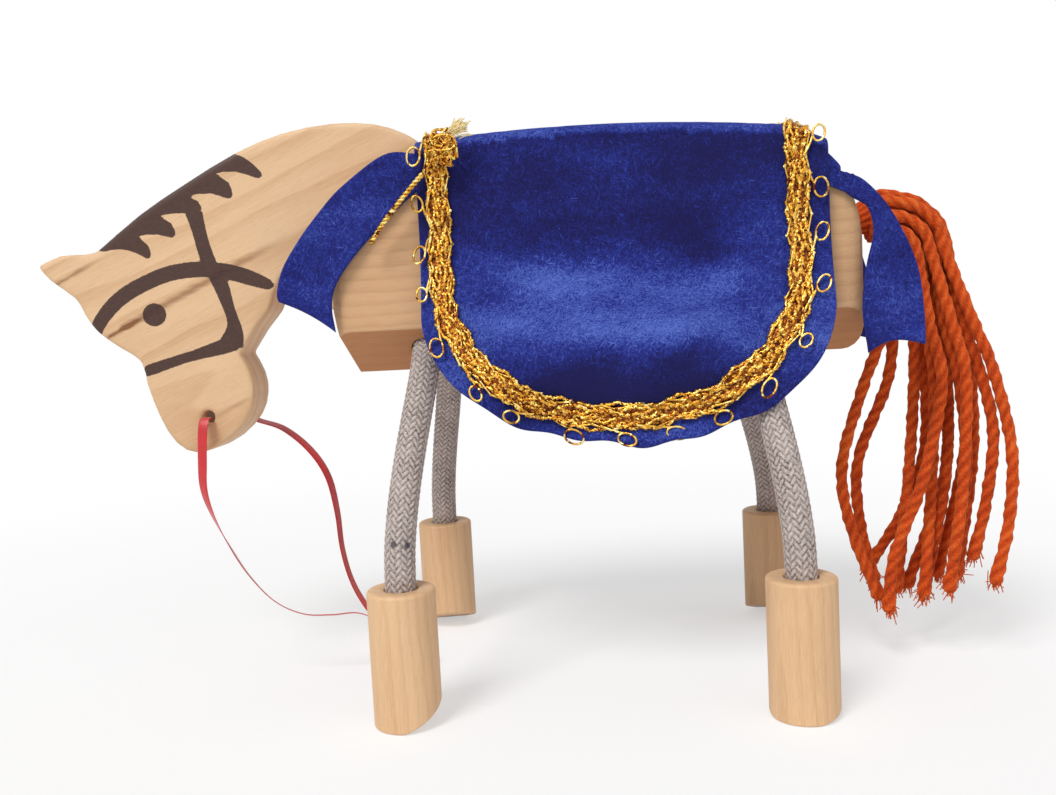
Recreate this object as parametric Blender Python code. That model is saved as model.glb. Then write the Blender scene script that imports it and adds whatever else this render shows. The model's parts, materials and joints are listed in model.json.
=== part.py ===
"""Toy horse: wooden block body and sawn head, rope legs with dowel hooves, felt cloths, braid, yarn tail.

The horse faces -X and stands on z = 0 with +Z up; its left side is -Y. Lengths along X are measured from the
middle of the body block, and an empty carries them to the middle of the whole horse.
"""

import math

import bpy
import bmesh
from mathutils import Matrix, Vector

MM = 0.001

# Clearances
GAP = 0.3          # between touching pieces
BORE_GAP = 0.3     # round a glued piece in its bore

# Body block
BLOCK_HALF_LENGTH = 65.0
BLOCK_HALF_WIDTH = 20.0
BLOCK_FLOOR = 81.3          # height of its underside
BLOCK_CROWN = 135.0         # highest point of its back
CROWN_X = -4.0              # where the back is highest
CROWN_FALL = 0.00118        # fall of the back per square millimetre from there
CHAMFER = 10.5              # 45 degree chamfers along the lower edges
SHOULDER_LENGTH = 20.0      # run of the elliptic shoulder curve
RUMP_LENGTH = 23.0          # run of the elliptic rump curve
CURVE_FOOT = 104.0          # height where shoulder and rump curves start
CHEST_RAKE = 4.4            # how far the chest slopes back at its foot
CHEST_FOOT = 98.0           # height where that slope ends
HEEL_RADIUS = 4.0           # lower rear corner
CORNER_RADIUS = 5.0         # upright corners

# Head and neck board
BOARD_HALF = 6.5
BOARD_EDGE = 1.1
TONGUE_BACK = -38.3         # rear end of the tongue in the block
TONGUE_FLOOR = 96.3
MUZZLE_HOLE = (-103.1, 71.1)
MUZZLE_HOLE_RADIUS = 1.85
DOWEL_AT = (-58.5, 115.0)
DOWEL_RADIUS = 2.0

# Rope legs and hooves
ROPE_RADIUS = 3.6
ROPE_BORE_DEPTH = 12.0
HIP_FRONT_X = -42.0
HIP_REAR_X = 38.5
HOOF_OUT = 38.0             # distance of a hoof's axis from the middle
ROPE_REACH = 0.36           # handles of the rope's bend, as a share of its span
ROPE_OUTSET = 0.65          # share of a handle that leads out of the body
ROPE_SPLAY = 0.10           # outward lean of the rope over its hoof
ROPE_RAKE = 0.004           # its lean along the horse, for each millimetre between hip and hoof
HOOF_RADIUS = 8.0
HOOF_HEIGHT = 32.0
HOOF_EDGE = 0.6
SOLE_WIDTH = 2.2            # flat strip that the hoof stands on
# name: (side, hip x, hoof x, slope of the oblique end, how far its low point turns from straight out)
LEGS = {
    "front_left": (-1, HIP_FRONT_X, -47.5, 25.0, -38.0),
    "front_right": (1, HIP_FRONT_X, -49.0, 20.0, -10.0),
    "rear_left": (-1, HIP_REAR_X, 44.0, 13.0, -25.0),
    "rear_right": (1, HIP_REAR_X, 49.5, 20.0, 10.0),
}

# Felt cloths
FELT = 1.2
SADDLE_FRONT = -41.0
SADDLE_REAR = 56.0
SADDLE_EDGE_FOOT = 95.0     # height where the straight front and rear edges end
SADDLE_LOW_X = 10.0         # where it hangs lowest
SADDLE_HEM = 62.5           # its lowest height
SADDLE_CORNER = 1.0         # bend over the back's edges
FLARE = 10.4                # how far it stands out at the hem
FLARE_TOP = 116.0
FLARE_FOOT = 66.0
DROOP_X = 50.0              # from here the saddle cloth runs on straight
CHEST_BRIDGE = (-39.5, -29.0)
RUMP_BRIDGE = (44.0, 59.0)

# Gold braid
BRAID_WIDTH = 6.3
BRAID_THICKNESS = 1.0
BRAID_GAP = 0.5             # to the bent felt under it
BRAID_FRONT = -35.8
BRAID_REAR = 48.5
BRAID_TURN = 103.0          # height where its straight runs end
BRAID_LOW = 69.0            # its lowest height
BRAID_KNOT_SIZE = (4.6, 3.0, 3.4)
THREAD_RADIUS = 0.65

# Ribbon rein
RIBBON_RADIUS = 1.5
REIN_KNOT_AT = (-47.0, 0.0, 2.7)
REIN_KNOT_SIZE = (3.2, 2.6, 2.5)

# Tail
TAIL_HINGE = (70.0, 0.0, 114.0)
TAIL_BALL = 4.4
TAIL_PLATE = (2.6, 13.6, 13.6)
TAIL_PLATE_BACK = 2.4       # from the hinge to the back of the gathered end
TAIL_PLUG_RADIUS = 4.0
TAIL_BORE_DEPTH = 12.0
STRAND_RADIUS = 1.5
STRAND_PITCH = 3.5
STRAND_LEAD = 1.2           # straight start of a strand
BEND_CENTRE = 103.5         # height of the middle of the strands' first bend
STRAND_SPLAY = 0.5          # how much wider the lanes stand at the ends

# Driving values worked out from those above
BLOCK_SIDE_GAP = BLOCK_HALF_WIDTH + GAP
LOBE_OUTER = BLOCK_SIDE_GAP + FELT
SADDLE_LIFT = GAP + FELT + GAP               # from the block's back to the saddle cloth's underside
SADDLE_SIDE = LOBE_OUTER + GAP + FELT / 2    # half width of the saddle cloth's middle surface
HIP_OUT = BLOCK_HALF_WIDTH - CHAMFER / 2
HIP_UP = BLOCK_FLOOR + CHAMFER / 2
EAR_TIP_X = -146.5
RUMP_LOBE_X = 77.2
ORIGIN_X = -(EAR_TIP_X + RUMP_LOBE_X) / 2


def clear_scene():
    """Empty the scene."""
    for found in list(bpy.data.objects):
        bpy.data.objects.remove(found, do_unlink=True)


def finish(name, colour, roughness, metallic=0.0):
    """A plain material with the piece's own colour."""
    made = bpy.data.materials.new(name)
    made.use_nodes = True
    shader = made.node_tree.nodes["Principled BSDF"]
    shader.inputs["Base Color"].default_value = (*colour, 1.0)
    shader.inputs["Roughness"].default_value = roughness
    shader.inputs["Metallic"].default_value = metallic
    return made


WOOD = (0.72, 0.45, 0.22)
DOWEL_WOOD = (0.70, 0.47, 0.25)
ROPE = (0.48, 0.42, 0.41)
FELT_BLUE = (0.022, 0.032, 0.22)
GOLD = (0.65, 0.36, 0.05)
YARN = (0.52, 0.06, 0.012)
RIBBON_RED = (0.58, 0.02, 0.02)


def linked(name, mesh, frame, colour, roughness=0.6, metallic=0.0):
    """Put a mesh in the scene as a named piece of the horse."""
    piece = bpy.data.objects.new(name, mesh)
    bpy.context.collection.objects.link(piece)
    piece.parent = frame
    if mesh.materials:
        mesh.materials.clear()
    mesh.materials.append(finish(name, colour, roughness, metallic))
    return piece


def mesh_from(name, points, faces):
    """A mesh from points in millimetres, its faces turned outwards."""
    work = bmesh.new()
    corners = [work.verts.new(Vector(point) * MM) for point in points]
    for face in faces:
        work.faces.new([corners[index] for index in face])
    bmesh.ops.recalc_face_normals(work, faces=work.faces)
    mesh = bpy.data.meshes.new(name)
    work.to_mesh(mesh)
    work.free()
    return mesh


def shade(mesh, angle=35.0):
    """Smooth shading with sharp corners kept."""
    mesh.shade_smooth()
    mesh.set_sharp_from_angle(angle=math.radians(angle))
    return mesh


def prism(name, outline, low, high, place):
    """Extrude an outline of (u, v) pairs from low to high; place(u, v, w) gives the point."""
    count = len(outline)
    points = [place(u, v, low) for u, v in outline] + [place(u, v, high) for u, v in outline]
    faces = [list(range(count)), list(range(count, 2 * count))]
    for index in range(count):
        after = (index + 1) % count
        faces.append([index, after, count + after, count + index])
    return mesh_from(name, points, faces)


def along_y(u, v, w):
    """Side outline (x, z) extruded across the horse."""
    return (u, w, v)


def along_x(u, v, w):
    """Cross-section (y, z) extruded along the horse."""
    return (w, u, v)


def along_z(u, v, w):
    """Plan outline (x, y) extruded upwards."""
    return (u, v, w)


def ellipse(centre, radii, start, end, steps):
    """Points on an elliptic arc, angles in degrees."""
    points = []
    for step in range(steps + 1):
        angle = math.radians(start + (end - start) * step / steps)
        points.append((centre[0] + radii[0] * math.cos(angle), centre[1] + radii[1] * math.sin(angle)))
    return points


def smooth_through(points, per_span):
    """Points on a Catmull-Rom curve through the given ones, ends included."""
    fixed = [Vector(point) for point in points]
    before = fixed[0] * 2 - fixed[1]
    after = fixed[-1] * 2 - fixed[-2]
    path = [before, *fixed, after]
    curve = []
    for index in range(1, len(path) - 2):
        p0, p1, p2, p3 = path[index - 1:index + 3]
        for step in range(per_span):
            t = step / per_span
            curve.append(0.5 * (2 * p1 + (p2 - p0) * t + (2 * p0 - 5 * p1 + 4 * p2 - p3) * t * t
                                + (3 * p1 - p0 - 3 * p2 + p3) * t * t * t))
    curve.append(fixed[-1])
    return curve


def evenly(curve, count):
    """Resample a polyline to count evenly spaced points."""
    lengths = [0.0]
    for first, second in zip(curve, curve[1:]):
        lengths.append(lengths[-1] + (second - first).length)
    spaced = []
    index = 0
    for step in range(count):
        target = lengths[-1] * step / (count - 1)
        while index < len(curve) - 2 and lengths[index + 1] < target:
            index += 1
        share = (target - lengths[index]) / max(lengths[index + 1] - lengths[index], 1e-9)
        spaced.append(curve[index].lerp(curve[index + 1], min(share, 1.0)))
    return spaced


def cylinder_mesh(name, start, end, radius, sides, edge=0.0):
    """A round bar from start to end, its rims bevelled by edge."""
    start, end = Vector(start), Vector(end)
    axis = (end - start).normalized()
    across = axis.orthogonal().normalized()
    third = axis.cross(across)
    stations = [(start, radius - edge), (start + axis * edge, radius), (end - axis * edge, radius),
                (end, radius - edge)]
    if edge == 0.0:
        stations = [(start, radius), (end, radius)]
    return lathe_mesh(name, stations, across, third, sides)


def lathe_mesh(name, stations, across, third, sides):
    """Rings of points at the stations (centre, radius), closed at both ends."""
    points = []
    faces = []
    for centre, radius in stations:
        for side in range(sides):
            angle = 2 * math.pi * side / sides
            points.append(centre + (across * math.cos(angle) + third * math.sin(angle)) * radius)
    for ring in range(len(stations) - 1):
        base = ring * sides
        for side in range(sides):
            after = (side + 1) % sides
            faces.append([base + side, base + after, base + sides + after, base + sides + side])
    faces.append(list(range(sides)))
    faces.append(list(range(len(points) - sides, len(points))))
    return mesh_from(name, points, faces)


def ellipsoid_mesh(name, centre, radii, rings, sides):
    """A closed ellipsoid."""
    points = [Vector(centre) + Vector((0, 0, radii[2]))]
    for ring in range(1, rings):
        polar = math.pi * ring / rings
        for side in range(sides):
            angle = 2 * math.pi * side / sides
            points.append(Vector(centre) + Vector((radii[0] * math.sin(polar) * math.cos(angle),
                                                   radii[1] * math.sin(polar) * math.sin(angle),
                                                   radii[2] * math.cos(polar))))
    points.append(Vector(centre) - Vector((0, 0, radii[2])))
    last = len(points) - 1
    faces = []
    for side in range(sides):
        after = (side + 1) % sides
        faces.append([0, 1 + side, 1 + after])
        for ring in range(rings - 2):
            base = 1 + ring * sides
            faces.append([base + side, base + sides + side, base + sides + after, base + after])
        base = 1 + (rings - 2) * sides
        faces.append([base + side, last, base + after])
    return mesh_from(name, points, faces)


def cut(piece, mesh, operation="DIFFERENCE"):
    """Cut a piece with a hidden cutter."""
    cutter = bpy.data.objects.new(f"cutter_{mesh.name}", mesh)
    bpy.context.collection.objects.link(cutter)
    cutter.parent = piece.parent
    cutter.hide_render = True
    cutter.display_type = "WIRE"
    modifier = piece.modifiers.new(mesh.name, "BOOLEAN")
    modifier.operation = operation
    modifier.solver = "EXACT"
    modifier.object = cutter


def crown(x):
    """Height of the back where it is a shallow arch."""
    return BLOCK_CROWN - CROWN_FALL * (x - CROWN_X) ** 2


SHOULDER_X = -BLOCK_HALF_LENGTH + SHOULDER_LENGTH
RUMP_X = BLOCK_HALF_LENGTH - RUMP_LENGTH


def back_height(x):
    """Height of the block's back at x, with the shoulder and rump curves."""
    if x < SHOULDER_X:
        share = min((SHOULDER_X - x) / SHOULDER_LENGTH, 1.0)
        return CURVE_FOOT + (crown(SHOULDER_X) - CURVE_FOOT) * math.sqrt(1 - share * share)
    if x > RUMP_X:
        share = min((x - RUMP_X) / RUMP_LENGTH, 1.0)
        return CURVE_FOOT + (crown(RUMP_X) - CURVE_FOOT) * math.sqrt(1 - share * share)
    return crown(x)


def block_side_outline():
    """The body block seen from the side."""
    front, rear = -BLOCK_HALF_LENGTH, BLOCK_HALF_LENGTH
    outline = [(front + CHEST_RAKE, BLOCK_FLOOR), (front, CHEST_FOOT)]
    outline += [(x, z) for x, z in ellipse((SHOULDER_X, CURVE_FOOT),
                                           (SHOULDER_LENGTH, crown(SHOULDER_X) - CURVE_FOOT), 180, 90, 9)]
    arch_steps = 8
    for step in range(1, arch_steps):
        x = SHOULDER_X + (RUMP_X - SHOULDER_X) * step / arch_steps
        outline.append((x, crown(x)))
    outline += ellipse((RUMP_X, CURVE_FOOT), (RUMP_LENGTH, crown(RUMP_X) - CURVE_FOOT), 90, 0, 10)
    outline += ellipse((rear - HEEL_RADIUS, BLOCK_FLOOR + HEEL_RADIUS), (HEEL_RADIUS, HEEL_RADIUS), 0, -90, 4)
    return outline


def build_block(frame):
    """The body block with its chamfers, slot and bores."""
    half = BLOCK_HALF_WIDTH
    block = linked("torso_block", prism("torso_block", block_side_outline(), -half, half, along_y),
                   frame, WOOD, 0.55)
    above = BLOCK_CROWN + 10
    section = [(-half + CHAMFER, BLOCK_FLOOR - 1e-3), (half - CHAMFER, BLOCK_FLOOR - 1e-3),
               (half + 5, BLOCK_FLOOR + CHAMFER + 5), (half + 5, above), (-half - 5, above),
               (-half - 5, BLOCK_FLOOR + CHAMFER + 5)]
    reach = BLOCK_HALF_LENGTH + 10
    cut(block, prism("chamfers", section, -reach, reach, along_x), "INTERSECT")
    plan = []
    inner = (BLOCK_HALF_LENGTH - CORNER_RADIUS, half - CORNER_RADIUS)
    for sign_x, sign_y, start in ((1, 1, 0), (-1, 1, 90), (-1, -1, 180), (1, -1, 270)):
        plan += ellipse((sign_x * inner[0], sign_y * inner[1]), (CORNER_RADIUS, CORNER_RADIUS),
                        start, start + 90, 4)
    cut(block, prism("corners", plan, BLOCK_FLOOR - 10, above, along_z), "INTERSECT")
    slot_half = BOARD_HALF + GAP
    slot = [(-reach, TONGUE_FLOOR - GAP), (TONGUE_BACK + GAP, TONGUE_FLOOR - GAP),
            (TONGUE_BACK + GAP, above), (-reach, above)]
    cut(block, prism("neck_slot", slot, -slot_half, slot_half, along_y))
    dowel_x, dowel_z = DOWEL_AT
    cut(block, cylinder_mesh("dowel_bore", (dowel_x, -half - 5, dowel_z), (dowel_x, half + 5, dowel_z),
                             DOWEL_RADIUS + BORE_GAP, 16))
    for name, (side, hip_x, _, _, _) in LEGS.items():
        mouth, outward = hip_mouth(side, hip_x)
        cut(block, cylinder_mesh(f"bore_{name}", mouth - outward * ROPE_BORE_DEPTH, mouth + outward * 8,
                                 ROPE_RADIUS + BORE_GAP, 16))
    bore_end = tail_mouth_x() - TAIL_BORE_DEPTH
    cut(block, cylinder_mesh("tail_bore", (bore_end, 0, TAIL_HINGE[2]), (reach, 0, TAIL_HINGE[2]),
                             TAIL_PLUG_RADIUS + BORE_GAP, 16))
    return block


def tail_mouth_x():
    """Where the tail bore opens on the rump curve."""
    rise = (TAIL_HINGE[2] - CURVE_FOOT) / (crown(RUMP_X) - CURVE_FOOT)
    return RUMP_X + RUMP_LENGTH * math.sqrt(1 - rise * rise)


def hip_mouth(side, hip_x):
    """Middle of a leg bore's mouth on the chamfer, and the direction out of it."""
    outward = Vector((0, side, -1)).normalized()
    return Vector((hip_x, side * HIP_OUT, HIP_UP)), outward


def hip_centre(side, hip_x):
    """Centre of the rounded top of a leg's free rope, which is its hinge point."""
    mouth, outward = hip_mouth(side, hip_x)
    return mouth + outward * (ROPE_RADIUS + GAP)


def ankle_centre(side, hoof_x):
    """Centre of the rounded foot of a leg's free rope, above its hoof."""
    return Vector((hoof_x, side * HOOF_OUT, HOOF_HEIGHT + ROPE_RADIUS + GAP))


# The head's outline, in runs that meet at corners
EAR = [(EAR_TIP_X, 113.2), (-140.2, 115.6), (-133.4, 115.6), (-129.9, 116.2)]
CREST = [(-129.9, 116.2), (-117.5, 125.1), (-105.0, 132.2), (-90.7, 139.4), (-78.0, 143.6),
         (-65.0, 145.2), (-54.0, 144.4), (-46.5, 141.7), (-43.0, 139.4)]
THROAT = [(-66.0, TONGUE_FLOOR), (-73.0, 101.3), (-80.3, 107.3)]
JAW = [(-80.3, 107.3), (-82.4, 103.8), (-84.6, 98.4), (-88.5, 94.0), (-93.2, 87.4)]
MUZZLE = [(-93.2, 87.4), (-90.6, 81.8), (-90.3, 76.0), (-92.4, 70.4), (-98.0, 64.9), (-106.3, 61.5),
          (-112.4, 64.4), (-116.4, 71.5), (-119.2, 80.4), (-120.4, 86.6), (-125.7, 90.4), (-131.6, 95.0),
          (-134.8, 99.9), (-136.8, 104.0), (-143.4, 109.2), (EAR_TIP_X, 113.2)]


def head_outline():
    """The head, neck and tongue seen from the side."""
    outline = []
    for run, per_span in ((EAR, 2), (CREST, 2)):
        outline += [tuple(point) for point in smooth_through(run, per_span)][:-1]
    tongue_top = crown(TONGUE_BACK)
    outline += [CREST[-1], (SADDLE_FRONT - 0.8, 137.2), (SADDLE_FRONT - 0.6, tongue_top),
                (TONGUE_BACK, tongue_top), (TONGUE_BACK, TONGUE_FLOOR)]
    for run in (THROAT, JAW, MUZZLE):
        outline += [tuple(point) for point in smooth_through(run, 2)][:-1]
    return outline


def rounded_board(name, outline, half, edge):
    """A flat board cut to an outline, both its rims rounded over."""
    work = bmesh.new()
    front = [work.verts.new(Vector((x, -half, z)) * MM) for x, z in outline]
    back = [work.verts.new(Vector((x, half, z)) * MM) for x, z in outline]
    near = work.faces.new(front)
    far = work.faces.new(back)
    for index in range(len(outline)):
        after = (index + 1) % len(outline)
        work.faces.new([front[index], front[after], back[after], back[index]])
    bmesh.ops.recalc_face_normals(work, faces=work.faces)
    rims = list(near.edges) + list(far.edges)
    bmesh.ops.bevel(work, geom=rims, offset=edge * MM, offset_type="OFFSET", segments=2, profile=0.6,
                    affect="EDGES", clamp_overlap=False)
    mesh = bpy.data.meshes.new(name)
    work.to_mesh(mesh)
    work.free()
    return mesh


def build_head(frame):
    """Head, neck and tongue in one board, and the dowel that pins it."""
    head = linked("head_neck", rounded_board("head_neck", head_outline(), BOARD_HALF, BOARD_EDGE),
                  frame, WOOD, 0.55)
    reach = BOARD_HALF + 4
    for name, (x, z), radius in (("muzzle_hole", MUZZLE_HOLE, MUZZLE_HOLE_RADIUS),
                                 ("tongue_bore", DOWEL_AT, DOWEL_RADIUS + BORE_GAP)):
        cut(head, cylinder_mesh(name, (x, -reach, z), (x, reach, z), radius, 16))
    dowel_x, dowel_z = DOWEL_AT
    length = BLOCK_HALF_WIDTH - GAP
    dowel = cylinder_mesh("neck_dowel", (dowel_x, -length, dowel_z), (dowel_x, length, dowel_z),
                          DOWEL_RADIUS, 16, 0.3)
    linked("neck_dowel", shade(dowel), frame, DOWEL_WOOD)


def rope_curve(side, hip_x, hoof_x, points):
    """Centre line of a leg's free rope: out of the chamfer at 45 degrees, then down to the hoof."""
    start = hip_centre(side, hip_x)
    end = ankle_centre(side, hoof_x)
    outward = hip_mouth(side, hip_x)[1]
    reach = (end - start).length * ROPE_REACH
    lean = Vector(((hoof_x - hip_x) * ROPE_RAKE, side * ROPE_SPLAY, -1)).normalized()
    first = start + outward * reach * ROPE_OUTSET
    second = end - lean * reach
    curve = []
    for step in range(points):
        t = step / (points - 1)
        curve.append(start * (1 - t) ** 3 + first * 3 * t * (1 - t) ** 2 + second * 3 * t * t * (1 - t)
                     + end * t ** 3)
    return curve


def ball_ended_tube(name, curve, radius, sides, cap_rings):
    """A tube along a curve, with half balls at its ends centred on the curve's ends."""
    stations = []
    first_axis = (curve[1] - curve[0]).normalized()
    last_axis = (curve[-1] - curve[-2]).normalized()
    for ring in range(cap_rings):
        angle = math.pi / 2 * (1 - (ring + 0.35) / cap_rings)
        stations.append((curve[0] - first_axis * radius * math.sin(angle), first_axis,
                         radius * math.cos(angle)))
    for index, point in enumerate(curve):
        before = curve[max(index - 1, 0)]
        after = curve[min(index + 1, len(curve) - 1)]
        stations.append((point, (after - before).normalized(), radius))
    for ring in reversed(range(cap_rings)):
        angle = math.pi / 2 * (1 - (ring + 0.35) / cap_rings)
        stations.append((curve[-1] + last_axis * radius * math.sin(angle), last_axis,
                         radius * math.cos(angle)))
    across = Vector((1, 0, 0))
    points = []
    for centre, axis, ring_radius in stations:
        side_way = (across - axis * across.dot(axis)).normalized()
        third = axis.cross(side_way)
        for side in range(sides):
            angle = 2 * math.pi * side / sides
            points.append(centre + (side_way * math.cos(angle) + third * math.sin(angle)) * ring_radius)
    faces = [list(range(sides)), list(range(len(points) - sides, len(points)))]
    for ring in range(len(stations) - 1):
        base = ring * sides
        for side in range(sides):
            after = (side + 1) % sides
            faces.append([base + side, base + after, base + sides + after, base + sides + side])
    return mesh_from(name, points, faces)


def build_leg(frame, name, side, hip_x, hoof_x, slope, turn):
    """One leg: rope glued in the block, free rope, rope glued in the hoof, and the hoof."""
    mouth, outward = hip_mouth(side, hip_x)
    glued = cylinder_mesh(f"rope_top_{name}", mouth - outward * (ROPE_BORE_DEPTH - GAP), mouth,
                          ROPE_RADIUS, 12)
    linked(f"rope_top_{name}", shade(glued), frame, ROPE, 0.9)
    free = ball_ended_tube(f"rope_leg_{name}", rope_curve(side, hip_x, hoof_x, 9), ROPE_RADIUS, 12, 3)
    linked(f"rope_leg_{name}", shade(free, 50), frame, ROPE, 0.9)
    foot_x, foot_y = hoof_x, side * HOOF_OUT
    bore_floor = HOOF_HEIGHT - ROPE_BORE_DEPTH
    end = cylinder_mesh(f"rope_foot_{name}", (foot_x, foot_y, bore_floor + GAP),
                        (foot_x, foot_y, HOOF_HEIGHT), ROPE_RADIUS, 12)
    linked(f"rope_foot_{name}", shade(end), frame, ROPE, 0.9)
    build_hoof(frame, name, side, hoof_x, slope, turn)


def build_hoof(frame, name, side, hoof_x, slope, turn):
    """A dowel hoof, bored for the rope, its lower end cut oblique with a flat strip to stand on."""
    centre = Vector((hoof_x, side * HOOF_OUT, 0))
    hoof = linked(f"hoof_{name}", shade(cylinder_mesh(f"hoof_{name}", centre,
                                                      centre + Vector((0, 0, HOOF_HEIGHT)),
                                                      HOOF_RADIUS, 32, HOOF_EDGE)), frame, DOWEL_WOOD, 0.5)
    cut(hoof, cylinder_mesh(f"hoof_bore_{name}", centre + Vector((0, 0, HOOF_HEIGHT - ROPE_BORE_DEPTH)),
                            centre + Vector((0, 0, HOOF_HEIGHT + 8)), ROPE_RADIUS + BORE_GAP, 16))
    low_way = sole_direction(side, turn)
    pivot = centre + low_way * (HOOF_RADIUS - SOLE_WIDTH)
    rise = math.tan(math.radians(slope))
    reach = 3 * HOOF_RADIUS
    across = Vector((-low_way.y, low_way.x, 0))
    top_far = pivot - low_way * reach + Vector((0, 0, reach * rise))
    corners = []
    for sign in (-1, 1):
        for point in (pivot, top_far, top_far - Vector((0, 0, reach * rise + 20)), pivot - Vector((0, 0, 20))):
            corners.append(point + across * reach * sign)
    faces = [[0, 1, 2, 3], [4, 5, 6, 7], [0, 1, 5, 4], [1, 2, 6, 5], [2, 3, 7, 6], [3, 0, 4, 7]]
    cut(hoof, mesh_from(f"oblique_{name}", corners, faces))


def sole_direction(side, turn):
    """Level direction from a hoof's axis to the lowest point of its oblique end."""
    return Matrix.Rotation(math.radians(-turn * side), 3, "Z") @ Vector((0, side, 0))


def saddle_support(x):
    """Height of the saddle cloth's underside along the middle of the back."""
    if x <= DROOP_X:
        return back_height(x) + SADDLE_LIFT
    slope = back_height(DROOP_X) - back_height(DROOP_X - 1)
    return back_height(DROOP_X) + SADDLE_LIFT + slope * (x - DROOP_X)


def saddle_hem(x):
    """Height of the saddle cloth's lower edge at x: two quarter ellipses."""
    run = SADDLE_LOW_X - SADDLE_FRONT if x < SADDLE_LOW_X else SADDLE_REAR - SADDLE_LOW_X
    share = min(abs(x - SADDLE_LOW_X) / run, 1.0)
    return SADDLE_EDGE_FOOT - (SADDLE_EDGE_FOOT - SADDLE_HEM) * math.sqrt(1 - share * share)


TOP_RUN = SADDLE_SIDE - SADDLE_CORNER
CORNER_RUN = SADDLE_CORNER * math.pi / 2


def saddle_point(x, reach):
    """Middle surface of the saddle cloth. reach runs from the middle of the back, positive to the left."""
    side = -1 if reach >= 0 else 1
    run = abs(reach)
    top = saddle_support(x) + FELT / 2
    if run <= TOP_RUN:
        return Vector((x, side * run, top))
    if run <= TOP_RUN + CORNER_RUN:
        angle = (run - TOP_RUN) / SADDLE_CORNER
        return Vector((x, side * (TOP_RUN + SADDLE_CORNER * math.sin(angle)),
                       top - SADDLE_CORNER * (1 - math.cos(angle))))
    height = top - SADDLE_CORNER - (run - TOP_RUN - CORNER_RUN)
    share = min(max((FLARE_TOP - height) / (FLARE_TOP - FLARE_FOOT), 0.0), 1.0)
    flare = FLARE * (1 - math.cos(math.pi * share)) / 2
    return Vector((x, side * (SADDLE_SIDE + flare), height))


def saddle_reach(x, height):
    """The reach at which the saddle cloth's side is at this height."""
    return TOP_RUN + CORNER_RUN + saddle_support(x) + FELT / 2 - SADDLE_CORNER - height


def saddle_normal(x, reach):
    """Outward direction of the saddle cloth."""
    step = 0.05
    if abs(reach) < step:
        reach = step
    along = saddle_point(x + step, reach) - saddle_point(x - step, reach)
    down = saddle_point(x, reach + step) - saddle_point(x, reach - step)
    normal = along.cross(down).normalized()
    outward = Vector((0, saddle_point(x, reach).y, 12))
    return normal if normal.dot(outward) > 0 else -normal


def thick_grid(name, rows, normals, thickness):
    """A closed sheet: a grid of points thickened both ways along its normals."""
    high, wide = len(rows), len(rows[0])
    points = []
    for sign in (1, -1):
        for row, row_normals in zip(rows, normals):
            points += [point + normal * (sign * thickness / 2) for point, normal in zip(row, row_normals)]
    layer = high * wide
    faces = []
    for i in range(high - 1):
        for j in range(wide - 1):
            a, b, c, d = i * wide + j, i * wide + j + 1, (i + 1) * wide + j + 1, (i + 1) * wide + j
            faces.append([a, b, c, d])
            faces.append([layer + d, layer + c, layer + b, layer + a])
    rim = [(0, j) for j in range(wide - 1)] + [(i, wide - 1) for i in range(high - 1)]
    rim += [(high - 1, j) for j in range(wide - 1, 0, -1)] + [(i, 0) for i in range(high - 1, 0, -1)]
    for index, (i, j) in enumerate(rim):
        k, m = rim[(index + 1) % len(rim)]
        first, second = i * wide + j, k * wide + m
        faces.append([first, second, layer + second, layer + first])
    return mesh_from(name, points, faces)


def build_saddle_cloth(frame):
    """The saddle cloth over the back, flared at its hem."""
    columns = 18
    xs = []
    for step in range(columns + 1):
        share = (1 - math.cos(math.pi * step / columns)) / 2
        xs.append(SADDLE_FRONT + (SADDLE_REAR - SADDLE_FRONT) * share)
    rows, normals = [], []
    for x in xs:
        corner_end = TOP_RUN + CORNER_RUN
        hem = saddle_reach(x, saddle_hem(x))
        half = [0.0, TOP_RUN, TOP_RUN + CORNER_RUN / 2, corner_end]
        side_steps = 10
        half += [corner_end + (hem - corner_end) * step / side_steps for step in range(1, side_steps + 1)]
        reaches = [-value for value in reversed(half[1:])] + half
        rows.append([saddle_point(x, reach) for reach in reaches])
        normals.append([saddle_normal(x, reach) for reach in reaches])
    linked("saddle_cloth", shade(thick_grid("saddle_cloth", rows, normals, FELT), 50), frame, FELT_BLUE, 0.95)


def braid_path():
    """The braid's way round the saddle cloth, as (x, reach) pairs, starting at the withers."""
    middle = (BRAID_FRONT + BRAID_REAR) / 2
    half = (BRAID_REAR - BRAID_FRONT) / 2
    over_back = [0.0, TOP_RUN / 2, TOP_RUN, TOP_RUN + CORNER_RUN / 2, TOP_RUN + CORNER_RUN]
    one_side = [(BRAID_FRONT, reach) for reach in over_back]
    straight_steps = 6
    bend_end = over_back[-1]
    turn_reach = saddle_reach(BRAID_FRONT, BRAID_TURN)
    for step in range(1, straight_steps):
        one_side.append((BRAID_FRONT, bend_end + (turn_reach - bend_end) * step / straight_steps))
    curve_steps = 32
    for step in range(curve_steps + 1):
        angle = math.pi * step / curve_steps
        x = middle - half * math.cos(angle)
        height = BRAID_TURN - (BRAID_TURN - BRAID_LOW) * math.sin(angle) ** 0.95
        one_side.append((x, saddle_reach(x, height)))
    turn_reach = saddle_reach(BRAID_REAR, BRAID_TURN)
    for step in range(straight_steps - 1, 0, -1):
        one_side.append((BRAID_REAR, bend_end + (turn_reach - bend_end) * step / straight_steps))
    one_side += [(BRAID_REAR, reach) for reach in reversed(over_back[1:])]
    other_side = [(x, -reach) for x, reach in reversed(one_side[1:])]
    return one_side + [(BRAID_REAR, 0.0)] + other_side


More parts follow.
